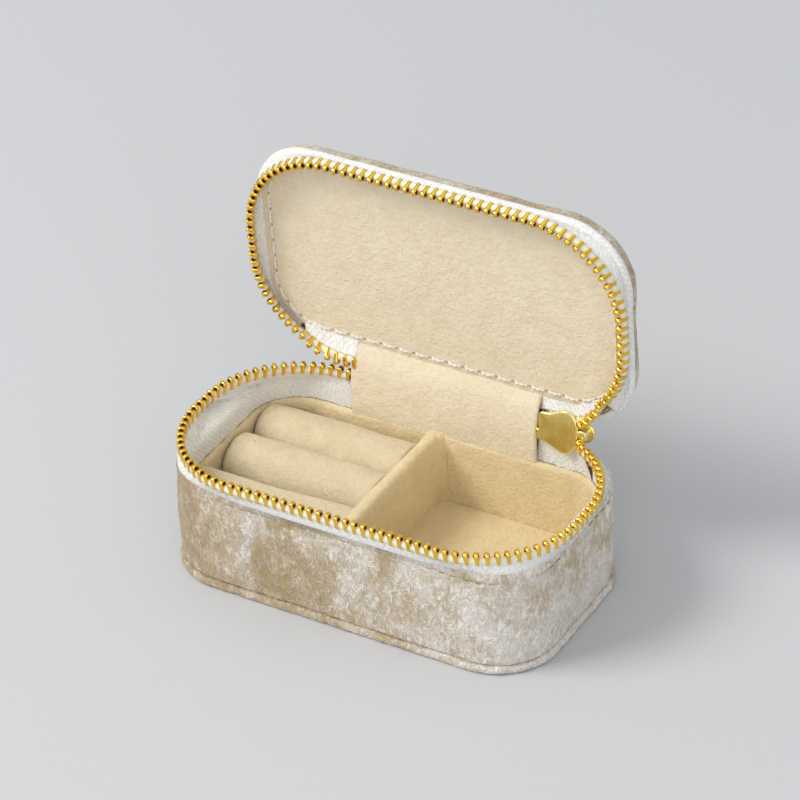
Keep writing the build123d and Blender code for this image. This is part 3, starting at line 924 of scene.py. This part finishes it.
def kept_in(x, y, gap):
    """Hold a point inside the rounded back left corner of the tray, a gap away from its wall."""
    radius = HOLLOW["radius"] - 1.6
    cx, cy = 1.6 + radius - HOLLOW["length"] / 2, HOLLOW["width"] / 2 - 1.6 - radius
    away = sqrt((x - cx) ** 2 + (y - cy) ** 2)
    limit = radius - gap
    if x >= cx or y <= cy or away <= limit:
        return x, y
    return cx + (x - cx) * limit / away, cy + (y - cy) * limit / away


def roll_stations(x0, x1, soft):
    """Places along a roll, close together at its rounded ends."""
    ends, middle = 7, 23
    stations = [x0 + soft * (1 - cos(pi / 2 * k / ends)) for k in range(ends)]
    stations += [x0 + soft + (x1 - x0 - 1.4 * soft) * k / middle for k in range(middle + 1)]
    stations += [x1 - 0.4 * soft * (1 - sin(pi / 2 * k / ends)) for k in range(1, ends + 1)]
    return stations


def roll_rows(low, high, soft, gap, rough, swell=0.0, sides=48):
    """Rings of points along a roll with rounded ends; its stuffing swells it up and to the left."""
    x0, x1 = low.x / MM - swell * 5, high.x / MM
    radius = (high.z - low.z) / 2 / MM + swell
    cy, cz = high.y / MM + swell - radius, (low.z + high.z) / 2 / MM + 3 * swell
    rows = []
    for x in roll_stations(x0, x1, soft):
        rounding = max(0.0, (x0 + soft - x) / soft, (x - x1 + 0.4 * soft) / (0.4 * soft))
        drawn_in = soft * (1 - sqrt(max(0.0, 1 - rounding ** 2)))
        r = radius - drawn_in * (1 if x < 0.5 * (x0 + x1) else 0.4)
        row = []
        for k in range(sides):
            angle = 2 * pi * k / sides
            c, s = cos(angle), sin(angle)
            around = (x, 9 * c + cy, 9 * s)
            bulge = r + wobble(around, 6, rough) + wobble(around, 2.4, rough / 3)
            px, py = kept_in(x, cy + bulge * c, gap)
            row.append((px, py, cz + bulge * s))
        rows.append(row)
    return rows


def ring_rolls():
    """Two stuffed rolls with rounded ends, each round a foam core."""
    for name in ("front_ring_roll", "back_ring_roll"):
        skin = roll_rows(*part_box(name), 2.0, 0.12, 0.3, swell=ROLL_SWELL)
        roll = grid(name + "_suede", skin, closed=True, caps=(True, True))
        finish_piece(roll, TOP_LIT_SUEDE, "base", [name])
        inside = roll_rows(*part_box(name + "_core"), 1.2, 1.3, 0.0)
        core = grid(name + "_foam", inside, closed=True, caps=(True, True))
        finish_piece(core, FOAM, "base", [name + "_core"])


# ---------------------------------------------------------------- zipper

# Sections of a tooth from its legs to its head, as (height, half thickness, half width)
TOOTH_RINGS = ((0.08, 0.40, 0.70), (0.16, 0.50, 0.84), (0.35, 0.55, 0.90), (0.8, 0.56, 0.91),
               (1.2, 0.56, 0.91), (1.45, 0.60, 0.92), (1.62, 0.66, 0.94), (1.8, 0.71, 0.96),
               (1.95, 0.74, 0.98), (2.1, 0.76, 0.99), (2.25, 0.77, 1.0), (2.4, 0.77, 0.99),
               (2.55, 0.76, 0.97), (2.7, 0.73, 0.93), (2.85, 0.68, 0.87), (2.98, 0.60, 0.78),
               (3.08, 0.48, 0.64), (3.16, 0.32, 0.44), (TOOTH_HEIGHT, 0.14, 0.2))
TOOTH_SIDES = 26
CUP_HEIGHT = 2.3
CUP_SIZE = 0.64
FOOT_LEAN = 0.22


def tooth_shape():
    """Points, faces and cup mask of one tooth; the mask sets the painted shade in the cup. Its cup faces -X
    and its nib +X.
    """
    cup_deep, nib_high = 0.42, 0.14
    points, cup = [], []
    for z, half_x, half_y in TOOTH_RINGS:
        for k in range(TOOTH_SIDES):
            angle = 2 * pi * k / TOOTH_SIDES
            c, s = cos(angle), sin(angle)
            x = half_x * abs(c) ** 0.6 * (1 if c > 0 else -1)
            y = half_y * abs(s) ** 0.75 * (1 if s > 0 else -1)
            away = sqrt((y / 1.1) ** 2 + (z - CUP_HEIGHT) ** 2) / CUP_SIZE
            dent = 0.0
            if c < 0:
                x *= 1 - 0.32 * clamped(z - 1.7)
            if c < 0 and away < 1:
                dent = 1 - away ** 2
                x += cup_deep * dent
            elif c > 0 and away < 1:
                x += nib_high * (1 - away ** 2)
            points.append(Vector((x - FOOT_LEAN * max(0.0, 1 - z / 2), y, z)))
            # Cup mask: how far into the cup a point lies, for its painted shade.
            cup.append(min(1.0, 1.5 * dent))
    faces = []
    for ring in range(len(TOOTH_RINGS) - 1):
        for k in range(TOOTH_SIDES):
            a = ring * TOOTH_SIDES + k
            b = ring * TOOTH_SIDES + (k + 1) % TOOTH_SIDES
            faces.append((a, b, b + TOOTH_SIDES, a + TOOTH_SIDES))
    faces.append(tuple(reversed(range(TOOTH_SIDES))))
    last = (len(TOOTH_RINGS) - 1) * TOOTH_SIDES
    faces.append(tuple(range(last, last + TOOTH_SIDES)))
    return points, faces, cup


TOOTH = tooth_shape()


def teeth(name, frames):
    """A row of teeth at frames of (root, heading, up)."""
    points, faces, cups = [], [], []
    shape, sides, cup = TOOTH
    for root, heading, up in frames:
        sideways = up.cross(heading).normalized()
        heading = sideways.cross(up).normalized()
        base = len(points)
        lean = wobble(root * 7, 3.0, 0.05)
        for point in shape:
            points.append(tuple(root + heading * (point.x + lean * point.z)
                                + sideways * point.y + up * point.z))
        faces += [tuple(base + index for index in face) for face in sides]
        cups += cup
    return make_object(name, points, faces, cup=cups)


def row_frames(row, ends, root_z, up, place, lean=0.0):
    """Even places along a tooth row, from its right end at the back round to its left end.

    The teeth point up or down from their roots, and lean toward the middle of the box.
    """
    first, last = run_at_back(row, ends[1]), run_at_back(row, ends[0])
    count = round((last - first) / TOOTH_PITCH)
    frames = []
    for index in range(count + 1):
        x, y, heading = row_point(row, first + (last - first) * index / count)
        origin = Vector(place(x, y, root_z))
        ahead = Vector(place(x + cos(heading), y + sin(heading), root_z)) - origin
        inward, rise = sin(radians(lean)), cos(radians(lean))
        head = Vector(place(x + sin(heading) * inward, y - cos(heading) * inward,
                            root_z + up * rise)) - origin
        frames.append((origin, ahead, head))
    return frames


def finer(frames, parts):
    """More frames between those given."""
    result = []
    for a, b in zip(frames, frames[1:]):
        for part in range(parts):
            share = part / parts
            result.append(tuple(p.lerp(q, share) for p, q in zip(a, b)))
    result.append(frames[-1])
    return result


def bead(name, frames):
    """The cord that runs through the teeth."""
    sections = [(root + up * BEAD_HIGH, up.cross(heading).normalized(), up)
                for root, heading, up in frames]
    return tube(name, sections, BEAD_DEEP, BEAD_HIGH)


def end_frames(curve, turn_from, turn_to, first=0.0, heading_sign=1):
    """Teeth along a free curve whose heads turn from one direction to another."""
    frames = []
    for place, ahead, share in along_path(smooth_path(curve, 12), TOOTH_PITCH, first):
        angle = radians(turn_from + (turn_to - turn_from) * eased(share))
        up = Vector((0, -sin(angle), -cos(angle)))
        frames.append((place, ahead * heading_sign, up))
    return frames


# Roots of the lid's row at places along its back, and the free curves where the rows run out
LID_ROOT_AT = {x: opened(*row_point(LID_ROW, run_at_back(LID_ROW, x))[:2], LID_ROOT_Z)
               for x in (LID_ROW_ENDS[0], -34.5, -31.5, LID_ROW_ENDS[1])}
LEFT_LID_CURVE = (LID_ROOT_AT[LID_ROW_ENDS[0]], LID_ROOT_AT[-34.5], LID_ROOT_AT[-31.5],
                  (-28.8, 24.9, 37.45), (-26.3, 24.85, 37.3), (-24.2, 24.95, 37.2))
RIGHT_LID_CURVE = (LID_ROOT_AT[LID_ROW_ENDS[1]], (41.3, 24.75, 42.7), (39.4, 25.3, 40.7),
                   (37.6, 25.9, 39.0), (35.8, 26.3, 37.8), (33.6, 26.4, 37.15), (30.0, 26.4, 37.05),
                   (25.4, 26.4, 37.05))
RIGHT_BASE_START = (*row_point(BASE_ROW, run_at_back(BASE_ROW, BASE_ROW_ENDS[1]))[:2], BASE_ROOT_Z)
RIGHT_BASE_CURVE = (RIGHT_BASE_START, (37.2, 23.2, 30.0), (35.8, 24.3, 29.8), (34.0, 25.0, 29.75),
                    (30.0, 25.1, 29.75), (25.4, 25.1, 29.75))


def base_tape_section(x, y, nx, ny, root):
    """Section of the base's tape, from behind the tray's edge up to the bead."""
    foot = Vector((x - nx * 0.3, y - ny * 0.3, TRAY_TOP - 2.2))
    knee = Vector((x - nx * 0.5, y - ny * 0.5, 27.3))
    top = Vector(root) + Vector((0, 0, 0.25))
    lip = knee.lerp(top, 0.45) + Vector((0, 0, -0.15))
    lip.z = max(lip.z, WALL_TOP + 0.1)
    return smooth_path([tuple(foot), tuple(foot.lerp(knee, 0.5)), tuple(knee), tuple(lip), tuple(top)], 4)


def welt_section(wall, root):
    """Outer hem of the tape, from beside the bead down to the velvet's upper edge."""
    x, y, nx, ny = wall
    x, y, _ = leaned_out(x, y, 28.4)
    low = Vector((x - nx * 0.35, y - ny * 0.35, 28.1))
    high = Vector((root[0] + nx * 0.05, root[1] + ny * 0.05, BASE_ROOT_Z + 0.4))
    soft = low.lerp(high, 0.4) + Vector((nx, ny, 0)) * 0.15
    return smooth_path([tuple(low), tuple(soft), tuple(high)], 4)


def tape_columns(low_loop, high_loop, ends, section):
    """Sections of tape round a row, from its right end at the back round to its left end."""
    columns = []
    for low, (rx, ry, _, _) in zip(low_loop, high_loop):
        if ry < 0 or not ends[0] < rx < ends[1]:
            columns.append((rx, ry, section(low, (rx, ry))))
    start = next(i for i, column in enumerate(columns) if column[0] > 0 and column[1] > 0)
    return [column[2] for column in columns[start:] + columns[:start]]


def tape_rows(columns):
    """The same points as rows along the tape."""
    return [list(row) for row in zip(*columns)]


def base_hem():
    """White turned edge between the velvet and the teeth."""
    columns = tape_columns(outline(WALL, 2), outline(BASE_ROW, 2), BASE_ROW_ENDS, welt_section)
    welt = thicken(grid("base_tape_hem", tape_rows(columns)), BASE_HEM_THICK)
    finish_piece(welt, TWILL, "base")


def base_tape():
    """Tape of the base, run on past the row's left end; gives back its first section."""
    ends = (BASE_ROW_ENDS[0] - 0.2, BASE_ROW_ENDS[1] + 0.6)
    columns = tape_columns(outline(HOLLOW, 2), outline(BASE_ROW, 2), ends,
                           lambda low, high: base_tape_section(*low, (*high, BASE_ROOT_Z)))
    back = HOLLOW["width"] / 2
    for step in range(1, 9):
        share = step / 8
        root = (BASE_ROW_ENDS[0] + 5.0 * share, 24.85 - 0.5 * share, BASE_ROOT_Z - 0.8 * share)
        columns.append(base_tape_section(-33 + 12 * share, back, 0, 1, root))
    rows = tape_rows(columns)
    tape = thicken(grid("base_tape_cloth", rows), TAPE_THICK)
    finish_piece(tape, TWILL, "base", ["base_zipper_tape"])
    distances(rows[-1])[-1]
    return columns[0]


def zipper_base():
    """Teeth, bead, hem and tape that stand on the base; gives back the tape's first section."""
    frames = row_frames(BASE_ROW, BASE_ROW_ENDS, BASE_ROOT_Z, 1, as_is)
    finish_piece(teeth("base_row_teeth", frames), TOOTH_GOLD, "base", ["base_zipper_teeth"])
    finish_piece(bead("base_row_bead", finer(frames, 3)), BEAD, "base")
    base_hem()
    return base_tape()


def lid_tape_section(edge_point, root):
    """Section of the lid's tape, from under the lining's edge out to the bead, turned open."""
    x, y, nx, ny = edge_point
    under = (x - nx * 3.2, y - ny * 3.2, LID_BOTTOM + 0.35)
    edge = (x - nx * 0.8, y - ny * 0.8, LID_BOTTOM + 0.2)
    out = (x + nx * 0.1, y + ny * 0.1, LID_BOTTOM - 0.35)
    top = (root[0], root[1], root[2] - 0.25)
    middle = tuple(a + (b - a) * 0.55 for a, b in zip(out, top))
    return [opened(*p) for p in smooth_path([under, edge, out, middle, top], 4)]


def lid_hem():
    """White edge of the tape, turned round the rim of the velvet cover."""
    profile = smooth_path([(-1.3, LID_BOTTOM - 0.22), (-0.5, LID_BOTTOM - 0.2), (0.12, LID_BOTTOM + 0.15),
                           (0.34, LID_BOTTOM + 0.6), (0.36, LID_BOTTOM + 0.9), (0.22, LID_BOTTOM + 1.25)], 4)
    rows = sweep_rows(outline(COVER, 4), profile, place=opened, rough=0.2, rough_span=7.0)
    hem = thicken(grid("lid_tape_hem", rows, closed=True), LID_HEM_THICK)
    finish_piece(hem, TWILL, "lid")


def zipper_lid():
    """Teeth, bead and tape of the lid's main run; gives back the tape's two end sections."""
    frames = row_frames(LID_ROW, LID_ROW_ENDS, LID_ROOT_Z, -1, opened, LID_TOOTH_LEAN)
    finish_piece(teeth("lid_row_teeth", frames), TOOTH_GOLD, "lid", ["lid_zipper_teeth"])
    finish_piece(bead("lid_row_bead", finer(frames, 3)), BEAD, "lid")

    columns = tape_columns(outline(inset(COVER, 0.8), 2), outline(LID_ROW, 2), LID_ROW_ENDS,
                           lambda low, high: lid_tape_section(low, (*high, LID_ROOT_Z)))
    rows = tape_rows(columns)
    tape = thicken(grid("lid_tape_cloth", rows), TAPE_THICK)
    finish_piece(tape, TWILL, "lid", ["lid_zipper_tape"])
    distances(rows[-1])[-1]
    return columns[0], columns[-1]


# Points along and down each free end of tape
WEB_COLUMNS = 25
WEB_STEPS = 12


def web(name, root_curve, sewn_line, bow):
    """Tape stretched from a sewn line to a row of roots, soft in between."""
    roots = resample(smooth_path(root_curve, 8), WEB_COLUMNS)
    tops = resample(smooth_path(sewn_line, 6), WEB_COLUMNS)
    columns = []
    for root, top in zip(roots, tops):
        root, top = Vector(root), Vector(top)
        section = []
        for step in range(WEB_STEPS + 1):
            t = step / WEB_STEPS
            point = top.lerp(root, t)
            point.y += bow * sin(pi * t)
            section.append(tuple(point))
        columns.append(section)
    return apply_modifiers(thicken(grid(name, tape_rows(columns)), TAPE_THICK))


def resample(points, count):
    """The same curve at an even count of places."""
    points = [tuple(point) for point in points]
    runs = distances(points)
    result = []
    index = 0
    for step in range(count):
        run = runs[-1] * step / (count - 1)
        while index < len(runs) - 2 and runs[index + 1] < run:
            index += 1
        share = (run - runs[index]) / (runs[index + 1] - runs[index])
        result.append(tuple(a + (b - a) * share for a, b in zip(points[index], points[index + 1])))
    return result


def crossing(obj, material, nodes=()):
    """Finish a piece that runs from the base to the lid, with its placement baked into its mesh."""
    finish_piece(obj, material, nodes=nodes)
    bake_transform(obj)
    return obj


def left_end():
    """The last teeth of the lid's row at the left, and their bead."""
    frames = end_frames(LEFT_LID_CURVE, OPEN_ANGLE, 0, first=TOOTH_PITCH)
    row = apply_modifiers(teeth("left_end_teeth_gold", frames))
    crossing(row, TOOTH_GOLD, ["left_end_teeth"])
    line = end_frames(LEFT_LID_CURVE, OPEN_ANGLE, 0)
    crossing(bead("left_end_bead", finer(line, 3)), BEAD)


def right_end():
    """The last teeth of both rows at the right, and their beads."""
    upper = ("upper", RIGHT_LID_CURVE, OPEN_ANGLE, -10)
    lower = ("lower", RIGHT_BASE_CURVE, 180, 170)
    rows = [teeth(name + "_right_end_teeth",
                  end_frames(curve, turn_from, turn_to, first=TOOTH_PITCH, heading_sign=-1))
            for name, curve, turn_from, turn_to in (upper, lower)]
    both = joined("right_end_teeth_gold", rows)
    crossing(both, TOOTH_GOLD, ["right_end_teeth"])
    cords = [bead(name + "_bead", finer(end_frames(curve, turn_from, turn_to, heading_sign=-1), 3))
             for name, curve, turn_from, turn_to in (upper, lower)]
    crossing(joined("right_end_bead", cords), BEAD)


def sewn_to_lid(first, side, near):
    """Line along which a free end of tape is sewn to the lid, from its row in to the hinge."""
    places = ((38, near), (33, 22.0), (28, 22.4), (24.4, 22.4))
    return [first] + [opened(side * x, y, LID_BOTTOM + 0.45) for x, y in places]


def left_tape_end(lid_section):
    """Free end of the lid's tape at the left."""
    cloth = web("left_tape_end_cloth", LEFT_LID_CURVE, sewn_to_lid(lid_section[0], -1, 20.4), 0.3)
    crossing(cloth, TWILL, ["tape_end_left"])
    distances(LEFT_LID_CURVE)[-1]


def right_tape_end(base_section, lid_section):
    """Free ends of both tapes at the right, behind the slider."""
    upper = web("upper_tape", RIGHT_LID_CURVE, sewn_to_lid(lid_section[0], 1, 20.6), 0.25)
    hx, hy, radius = HOLLOW["length"] / 2, HOLLOW["width"] / 2, HOLLOW["radius"]
    foot = [base_section[0]]
    for x in (40.5, 38.5, 36.5, 34.2, 30.0, 24.4):
        inward = radius - sqrt(max(0.0, radius ** 2 - max(0.0, x - hx + radius) ** 2))
        foot.append((x, hy - inward - 0.3, TRAY_TOP - 2.0))
    lower = web("lower_tape", RIGHT_BASE_CURVE, foot, 0.2)
    cloth = joined("right_tape_end_cloth", [upper, lower])
    crossing(cloth, TWILL, ["tape_end_right"])
    length = distances(RIGHT_LID_CURVE)[-1] + distances(RIGHT_BASE_CURVE)[-1]


def zipper():
    """Both rows of the zipper, and the ends where they meet."""
    base_section = zipper_base()
    right_section, left_section = zipper_lid()
    left_end()
    right_end()
    left_tape_end(left_section)
    right_tape_end(base_section, right_section)


# ---------------------------------------------------------------- hinge cloth

FLAP_PATH = ((24.1, TRAY_TOP - 2.2), (23.8, 26.0), (23.8, 30.0), (24.2, 33.5), (25.1, 36.8),
             (26.4, 38.9), (27.55, 40.3))
STRIP_PATH = ((27.0, 28.4), (27.5, 29.6), (27.95, 31.5), (28.6, 33.5), (29.5, 34.6), (28.9, 35.6),
              (27.9, 35.95))


def across(node, path, wave):
    """Rows of points over a node's width, one row for each point of the path."""
    x0, x1 = reach(node, 0)
    steps = 60
    rows = []
    for y, z in path:
        row = []
        for step in range(steps + 1):
            x = x0 + (x1 - x0) * step / steps
            row.append((x, y + wave((x, y, z)), z))
        rows.append(row)
    return rows


def flap():
    """The suede flap inside, sewn to the tray's wall and the lid's lining."""
    path = smooth_path(FLAP_PATH, 8)
    rows = across("inner_hinge_flap", path, lambda point: wobble(point, 9, 0.35) + wobble(point, 3, 0.08))
    cloth = apply_modifiers(thicken(grid("hinge_flap_suede", rows), FLAP_THICK))
    crossing(cloth, LINING_SUEDE, ["inner_hinge_flap"])
    size("inner_hinge_flap", 0) * MM
    distances(path)[-1] * MM


def strip():
    """The velvet strip outside, which folds as the lid opens."""
    path = smooth_path(STRIP_PATH, 6)
    rows = across("outer_hinge_strip", path, lambda point: wobble(point, 6, 0.35))
    cloth = apply_modifiers(thicken(grid("hinge_strip_velvet", rows), FLAP_THICK))
    crossing(cloth, VELVET, ["outer_hinge_strip"])
    # The section is about 9 mm long, so the length below is set by the smallest sheet instead.
    length = max(SMALLEST_SHEET + 0.2, distances(path)[-1])
    size("outer_hinge_strip", 0) * MM


# ---------------------------------------------------------------- lid

def lid_cover():
    """Velvet cover of the lid."""
    profile = smooth_path([(-1.9, LID_BOTTOM + 0.25), (-1.0, LID_BOTTOM + 0.02), (-0.3, LID_BOTTOM + 0.25),
                           (0.0, LID_BOTTOM + 0.9), (0.12, 41.4), (0.0, 42.6), (-0.45, 43.6),
                           (-1.3, 44.1), (-2.6, LID_TOP)], 4)
    cover = pillow("lid_cover_velvet", outline(COVER, 4), profile, crown=0.35, place=opened,
                   rough=0.3, rings=16, floor=False)
    finish_piece(cover, LID_VELVET, "lid", ["lid_velvet_cover"])


def lid_lining():
    """Suede lining stretched over the lid's card."""
    low = LID_BOTTOM - 0.25
    side = smooth_path([(-1.2, LID_BOTTOM + 0.75), (-0.25, LID_BOTTOM + 0.6), (0.0, LID_BOTTOM + 0.3),
                        (-0.15, LID_BOTTOM - 0.02), (-0.7, low + 0.02), (-1.6, low)], 4)
    lining = pillow("lid_lining_suede", outline(LINING, 3), side, crown=0.12, place=opened, rough=0.16,
                    rings=18)
    finish_piece(lining, LINING_SUEDE, "lid", ["lid_lining"])


def lid_foam():
    """Foam between the lid's card and its cover."""
    foam_low, foam_top = 41.7, LID_TOP - 0.8
    side = smooth_path([(-0.1, foam_low), (0, foam_low + 0.5), (-0.3, foam_top - 0.5), (-1.2, foam_top)], 3)
    pad = pillow("lid_pad_foam", outline(inset(COVER, 0.9), 2), side, place=opened)
    finish_piece(pad, FOAM, "lid", ["lid_foam_pad"])


def lid_stitches():
    """White thread that holds the lining, with the marks of the needle between the stitches."""
    row = LID_STITCH_ROW
    total = sum(legs(row))
    count = round(total / 4.5)
    threads, holes = ([], [], []), ([], [])
    face = LID_BOTTOM - 0.33
    for index in range(count):
        x, y, heading = row_point(row, total * (index + 0.5) / count)
        centre = Vector(opened(x, y, face))
        along = Vector(opened(x + cos(heading), y + sin(heading), face)) - centre
        out = Vector(opened(x, y, face - 1)) - centre
        jitter = wobble((x, y, 0), 2.0, 0.35)
        side = along.cross(out)
        stitch(threads, (centre + side * jitter * 0.3, (along + side * jitter * 0.12).normalized(), out),
               3.3 + jitter, 0.62, 0.3)
        dimple(holes, centre + along * 2.25 + out * 0.02, along, out, 0.3, 0.2, 0.08)
    obj = make_object("lid_lining_thread", threads[0], threads[1], threads[2])
    finish_piece(obj, WHITE_THREAD, "lid", ["lid_lining_stitches"])
    # Needle marks coloured as painted shade of the holes.
    marks = make_object("lid_needle_marks", holes[0], holes[1])
    finish_piece(marks, NEEDLE_HOLE_SHADE, "lid")


# ---------------------------------------------------------------- slider and pull

def plate_loop(half_profile):
    """A closed outline, clockwise, from the upper half of a plate's side."""
    upper = smooth_path(half_profile, 6)
    lower = [(x, -h) for x, h in reversed(upper[:-1])]
    loop = upper + lower
    result = []
    count = len(loop)
    for index, (x, h) in enumerate(loop):
        before, after = loop[index - 1], loop[(index + 1) % count]
        dx, dh = after[0] - before[0], after[1] - before[1]
        length = sqrt(dx * dx + dh * dh) or 1.0
        result.append((x, h, -dh / length, dx / length))
    return result


def plate(name, half_profile, front, thick, crown):
    """One polished plate of the slider, softly domed, with rounded rims."""
    round_off = 0.24

    def place(x, up, depth):
        """Place a point of the plate by its depth behind the plate's own front."""
        return on_slider(x, front + depth, up)

    side = [(-round_off, thick), (-0.08, thick - 0.08), (0, thick - round_off), (0, round_off),
            (-0.05, 0.12), (-0.13, 0.04), (-round_off, 0.0), (-round_off - 0.12, -0.02)]
    return pillow(name, plate_loop(half_profile), side, crown=-crown, place=place, rings=8)


def bevelled(name, centre, dims, bevel, place):
    """A block with rounded edges."""
    hx, hy, hz = (value / 2 for value in dims)
    corners = [(centre[0] + sx * hx, centre[1] + sy * hy, centre[2] + sz * hz)
               for sz in (-1, 1) for sx, sy in ((-1, -1), (1, -1), (1, 1), (-1, 1))]
    faces = [(3, 2, 1, 0), (4, 5, 6, 7), (0, 1, 5, 4), (1, 2, 6, 5), (2, 3, 7, 6), (3, 0, 4, 7)]
    obj = make_object(name, [place(*corner) for corner in corners], faces)
    edge = obj.modifiers.new("edge", "BEVEL")
    edge.width = bevel * MM
    edge.segments = 3
    return apply_modifiers(obj)


def rod(name, points, radius, place):
    """A round wire through points."""
    path = smooth_path(points, 6)
    frames = []
    for index, point in enumerate(path):
        before, after = path[max(index - 1, 0)], path[min(index + 1, len(path) - 1)]
        ahead = (Vector(place(*after)) - Vector(place(*before))).normalized()
        sideways = ahead.cross(Vector((0.3, 0.2, 0.93))).normalized()
        frames.append((Vector(place(*point)), sideways, sideways.cross(ahead)))
    return tube(name, frames, radius, radius, sides=12)


def slider_body():
    """The slider's two plates and the wedge that joins them."""
    inner = ((25.8, 0.0), (25.8, 2.9), (25.92, 3.45), (26.4, 3.72), (27.2, 3.74), (28.6, 3.95), (30.3, 4.7),
             (31.9, 5.4), (33.3, 5.35), (34.6, 4.55), (35.6, 2.8), (36.0, 0.9), (36.0, 0.0))
    outer = ((25.8, 0.0), (25.8, 1.9), (25.95, 2.4), (26.5, 2.62), (30.0, 2.7), (34.0, 2.85), (36.5, 2.75),
             (38.1, 2.0), (38.9, 0.8), (39.0, 0.0))
    front = plate("slider_front", inner, 0.0, 0.8, 0.1)
    back = plate("slider_back", outer, 2.9, 0.8, 0.1)
    post = bevelled("slider_post", (36.5, 1.85, 0), (2.9, 2.5, 2.5), 0.35, on_slider)
    body = joined("slider_body_gold", [front, back, post])
    finish_piece(body, SLIDER_GOLD, "slider", ["slider_body"])


def slider_crown():
    """The bridge on the slider's back that carries the pull."""
    low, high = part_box("slider_crown")
    x0, x1 = low.x / MM + 0.5, high.x / MM - 0.5
    depth, drop = 6.2, -1.0
    arch = [(x0, 3.4, drop), (x0, 4.9, drop), (x0 + 0.5, depth - 0.2, drop), (x0 + 1.6, depth, drop),
            (x1 - 1.6, depth, drop), (x1 - 0.5, depth - 0.2, drop), (x1, 4.9, drop), (x1, 3.4, drop)]
    crown = rod("slider_crown_gold", arch, 0.5, on_slider)
    finish_piece(crown, SLIDER_GOLD, "slider", ["slider_crown"])


def pull_tab():
    """A flat tab with round ends and a long hole for the crown."""
    low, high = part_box("pull_tab")
    cx, cy = (low.x + high.x) / 2 / MM, (low.y + high.y) / 2 / MM
    top, bottom = high.z / MM, low.z / MM
    wide = (high.y - low.y) / 2 / MM
    thick = (high.x - low.x) / 2 / MM
    hole_z, hole_radius, hole_half = top - 2.3, 0.8, 0.75
    loop = []
    for k in range(48):
        angle = 2 * pi * k / 48
        c, s = cos(angle), sin(angle)
        cz = top - wide if s > 0 else bottom + wide
        loop.append((cy + wide * c, cz + wide * s, c, s))
    face = ((0.97, 0.6), (0.85, 0.95), (0.5, 1.0), (0.15, 0.95), (0.03, 0.6))
    front, back = list(face), [(toward_hole, -depth) for toward_hole, depth in reversed(face)]
    rows = []
    for toward_hole, depth in [(1.0, 0.0)] + front + [(0.0, 0.0)] + back + [(1.0, 0.0)]:
        row = []
        for y, z, c, s in loop:
            hole_y = cy + hole_radius * c
            hole_edge = hole_z + (hole_half if s > 0 else -hole_half) + hole_radius * s
            row.append((cx + thick * depth, y + (hole_y - y) * toward_hole,
                        z + (hole_edge - z) * toward_hole))
        rows.append(row)
    tab = grid("pull_tab_gold", rows, closed=True)
    finish_piece(tab, SLIDER_GOLD, "pull", ["pull_tab"])


# ---------------------------------------------------------------- hidden CAD pieces

def carried_over():
    """CAD nodes that keep their shape and get a worked material."""
    for names, material in ((("bottom_board", "base_card_wall", "lid_board"), CARD),
                            (("bottom_stop", "top_stops"), TOOTH_GOLD)):
        for name in names:
            node = frame["nodes"][name]
            node.data.materials.clear()
            node.data.materials.append(material)


# ---------------------------------------------------------------- stage

VIEW_AZIMUTH = 31.009
VIEW_ELEVATION = 34.065
VIEW_ROLL = -2.269
VIEW_DISTANCE = 850.364
VIEW_TARGET = (2.658, 0.0, 48.248)
LENS = 166.25


def studio_floor():
    """Pale floor, wide enough to fill every view."""
    half = 3.0 / MM
    corners = [(-half, -half, 0), (half, -half, 0), (half, half, 0), (-half, half, 0)]
    floor = make_object("studio_floor", corners, [(0, 1, 2, 3)])
    floor.data.materials.append(backdrop())


def studio_lights():
    """Soft light from the upper left, a fill from the front right and pale surroundings."""
    world = bpy.data.worlds.new("studio")
    bpy.context.scene.world = world
    world.use_nodes = True
    background = world.node_tree.nodes["Background"]
    background.inputs["Color"].default_value = (0.78, 0.80, 0.83, 1)
    background.inputs["Strength"].default_value = 0.69

    aim = Vector((0, 0, 0.03))
    lights = (("key", (-0.90, -0.76, 1.30), 0.70, 20.0, (1.0, 0.985, 0.96)),
              ("fill", (0.75, -1.10, 0.62), 1.2, 6.4, (0.97, 0.98, 1.0)),
              ("top", (-0.1, 0.35, 1.3), 1.0, 1.6, (1.0, 1.0, 1.0)))
    for name, place, width, power, colour in lights:
        light = bpy.data.lights.new(name, "AREA")
        light.size = width
        light.energy = power
        light.color = colour
        obj = bpy.data.objects.new(name, light)
        obj.location = place
        obj.rotation_euler = (aim - Vector(place)).to_track_quat("-Z", "Y").to_euler()
        bpy.context.scene.collection.objects.link(obj)


def view():
    """The camera, placed by its direction, roll and distance from the middle of the box."""
    azimuth, elevation, roll = (radians(v) for v in (VIEW_AZIMUTH, VIEW_ELEVATION, VIEW_ROLL))
    back = Vector((sin(azimuth) * cos(elevation), -cos(azimuth) * cos(elevation), sin(elevation)))
    side = Vector((0, 0, 1)).cross(back).normalized()
    up = back.cross(side)
    side, up = cos(roll) * side + sin(roll) * up, -sin(roll) * side + cos(roll) * up
    camera = bpy.data.cameras.new("camera")
    camera.lens = LENS
    camera.sensor_width = 36.0
    camera.clip_start = 0.01
    eye = bpy.data.objects.new("camera", camera)
    place = (Vector(VIEW_TARGET) + back * VIEW_DISTANCE) * MM
    turn = Matrix((side, up, back)).transposed().to_4x4()
    eye.matrix_world = Matrix.Translation(place) @ turn
    bpy.context.scene.collection.objects.link(eye)
    bpy.context.scene.camera = eye
    bpy.context.scene.view_settings.view_transform = "Standard"


bottom_panel()
velvet_wall()
base_seam()
tray_wall()
tray_divider()
compartment_floor()
fray()
ring_ledge()
ring_bed()
ring_rolls()
zipper()
lid_hem()
lid_cover()
lid_lining()
lid_foam()
lid_stitches()
flap()
strip()
slider_body()
slider_crown()
pull_tab()
carried_over()
studio_floor()
studio_lights()
view()
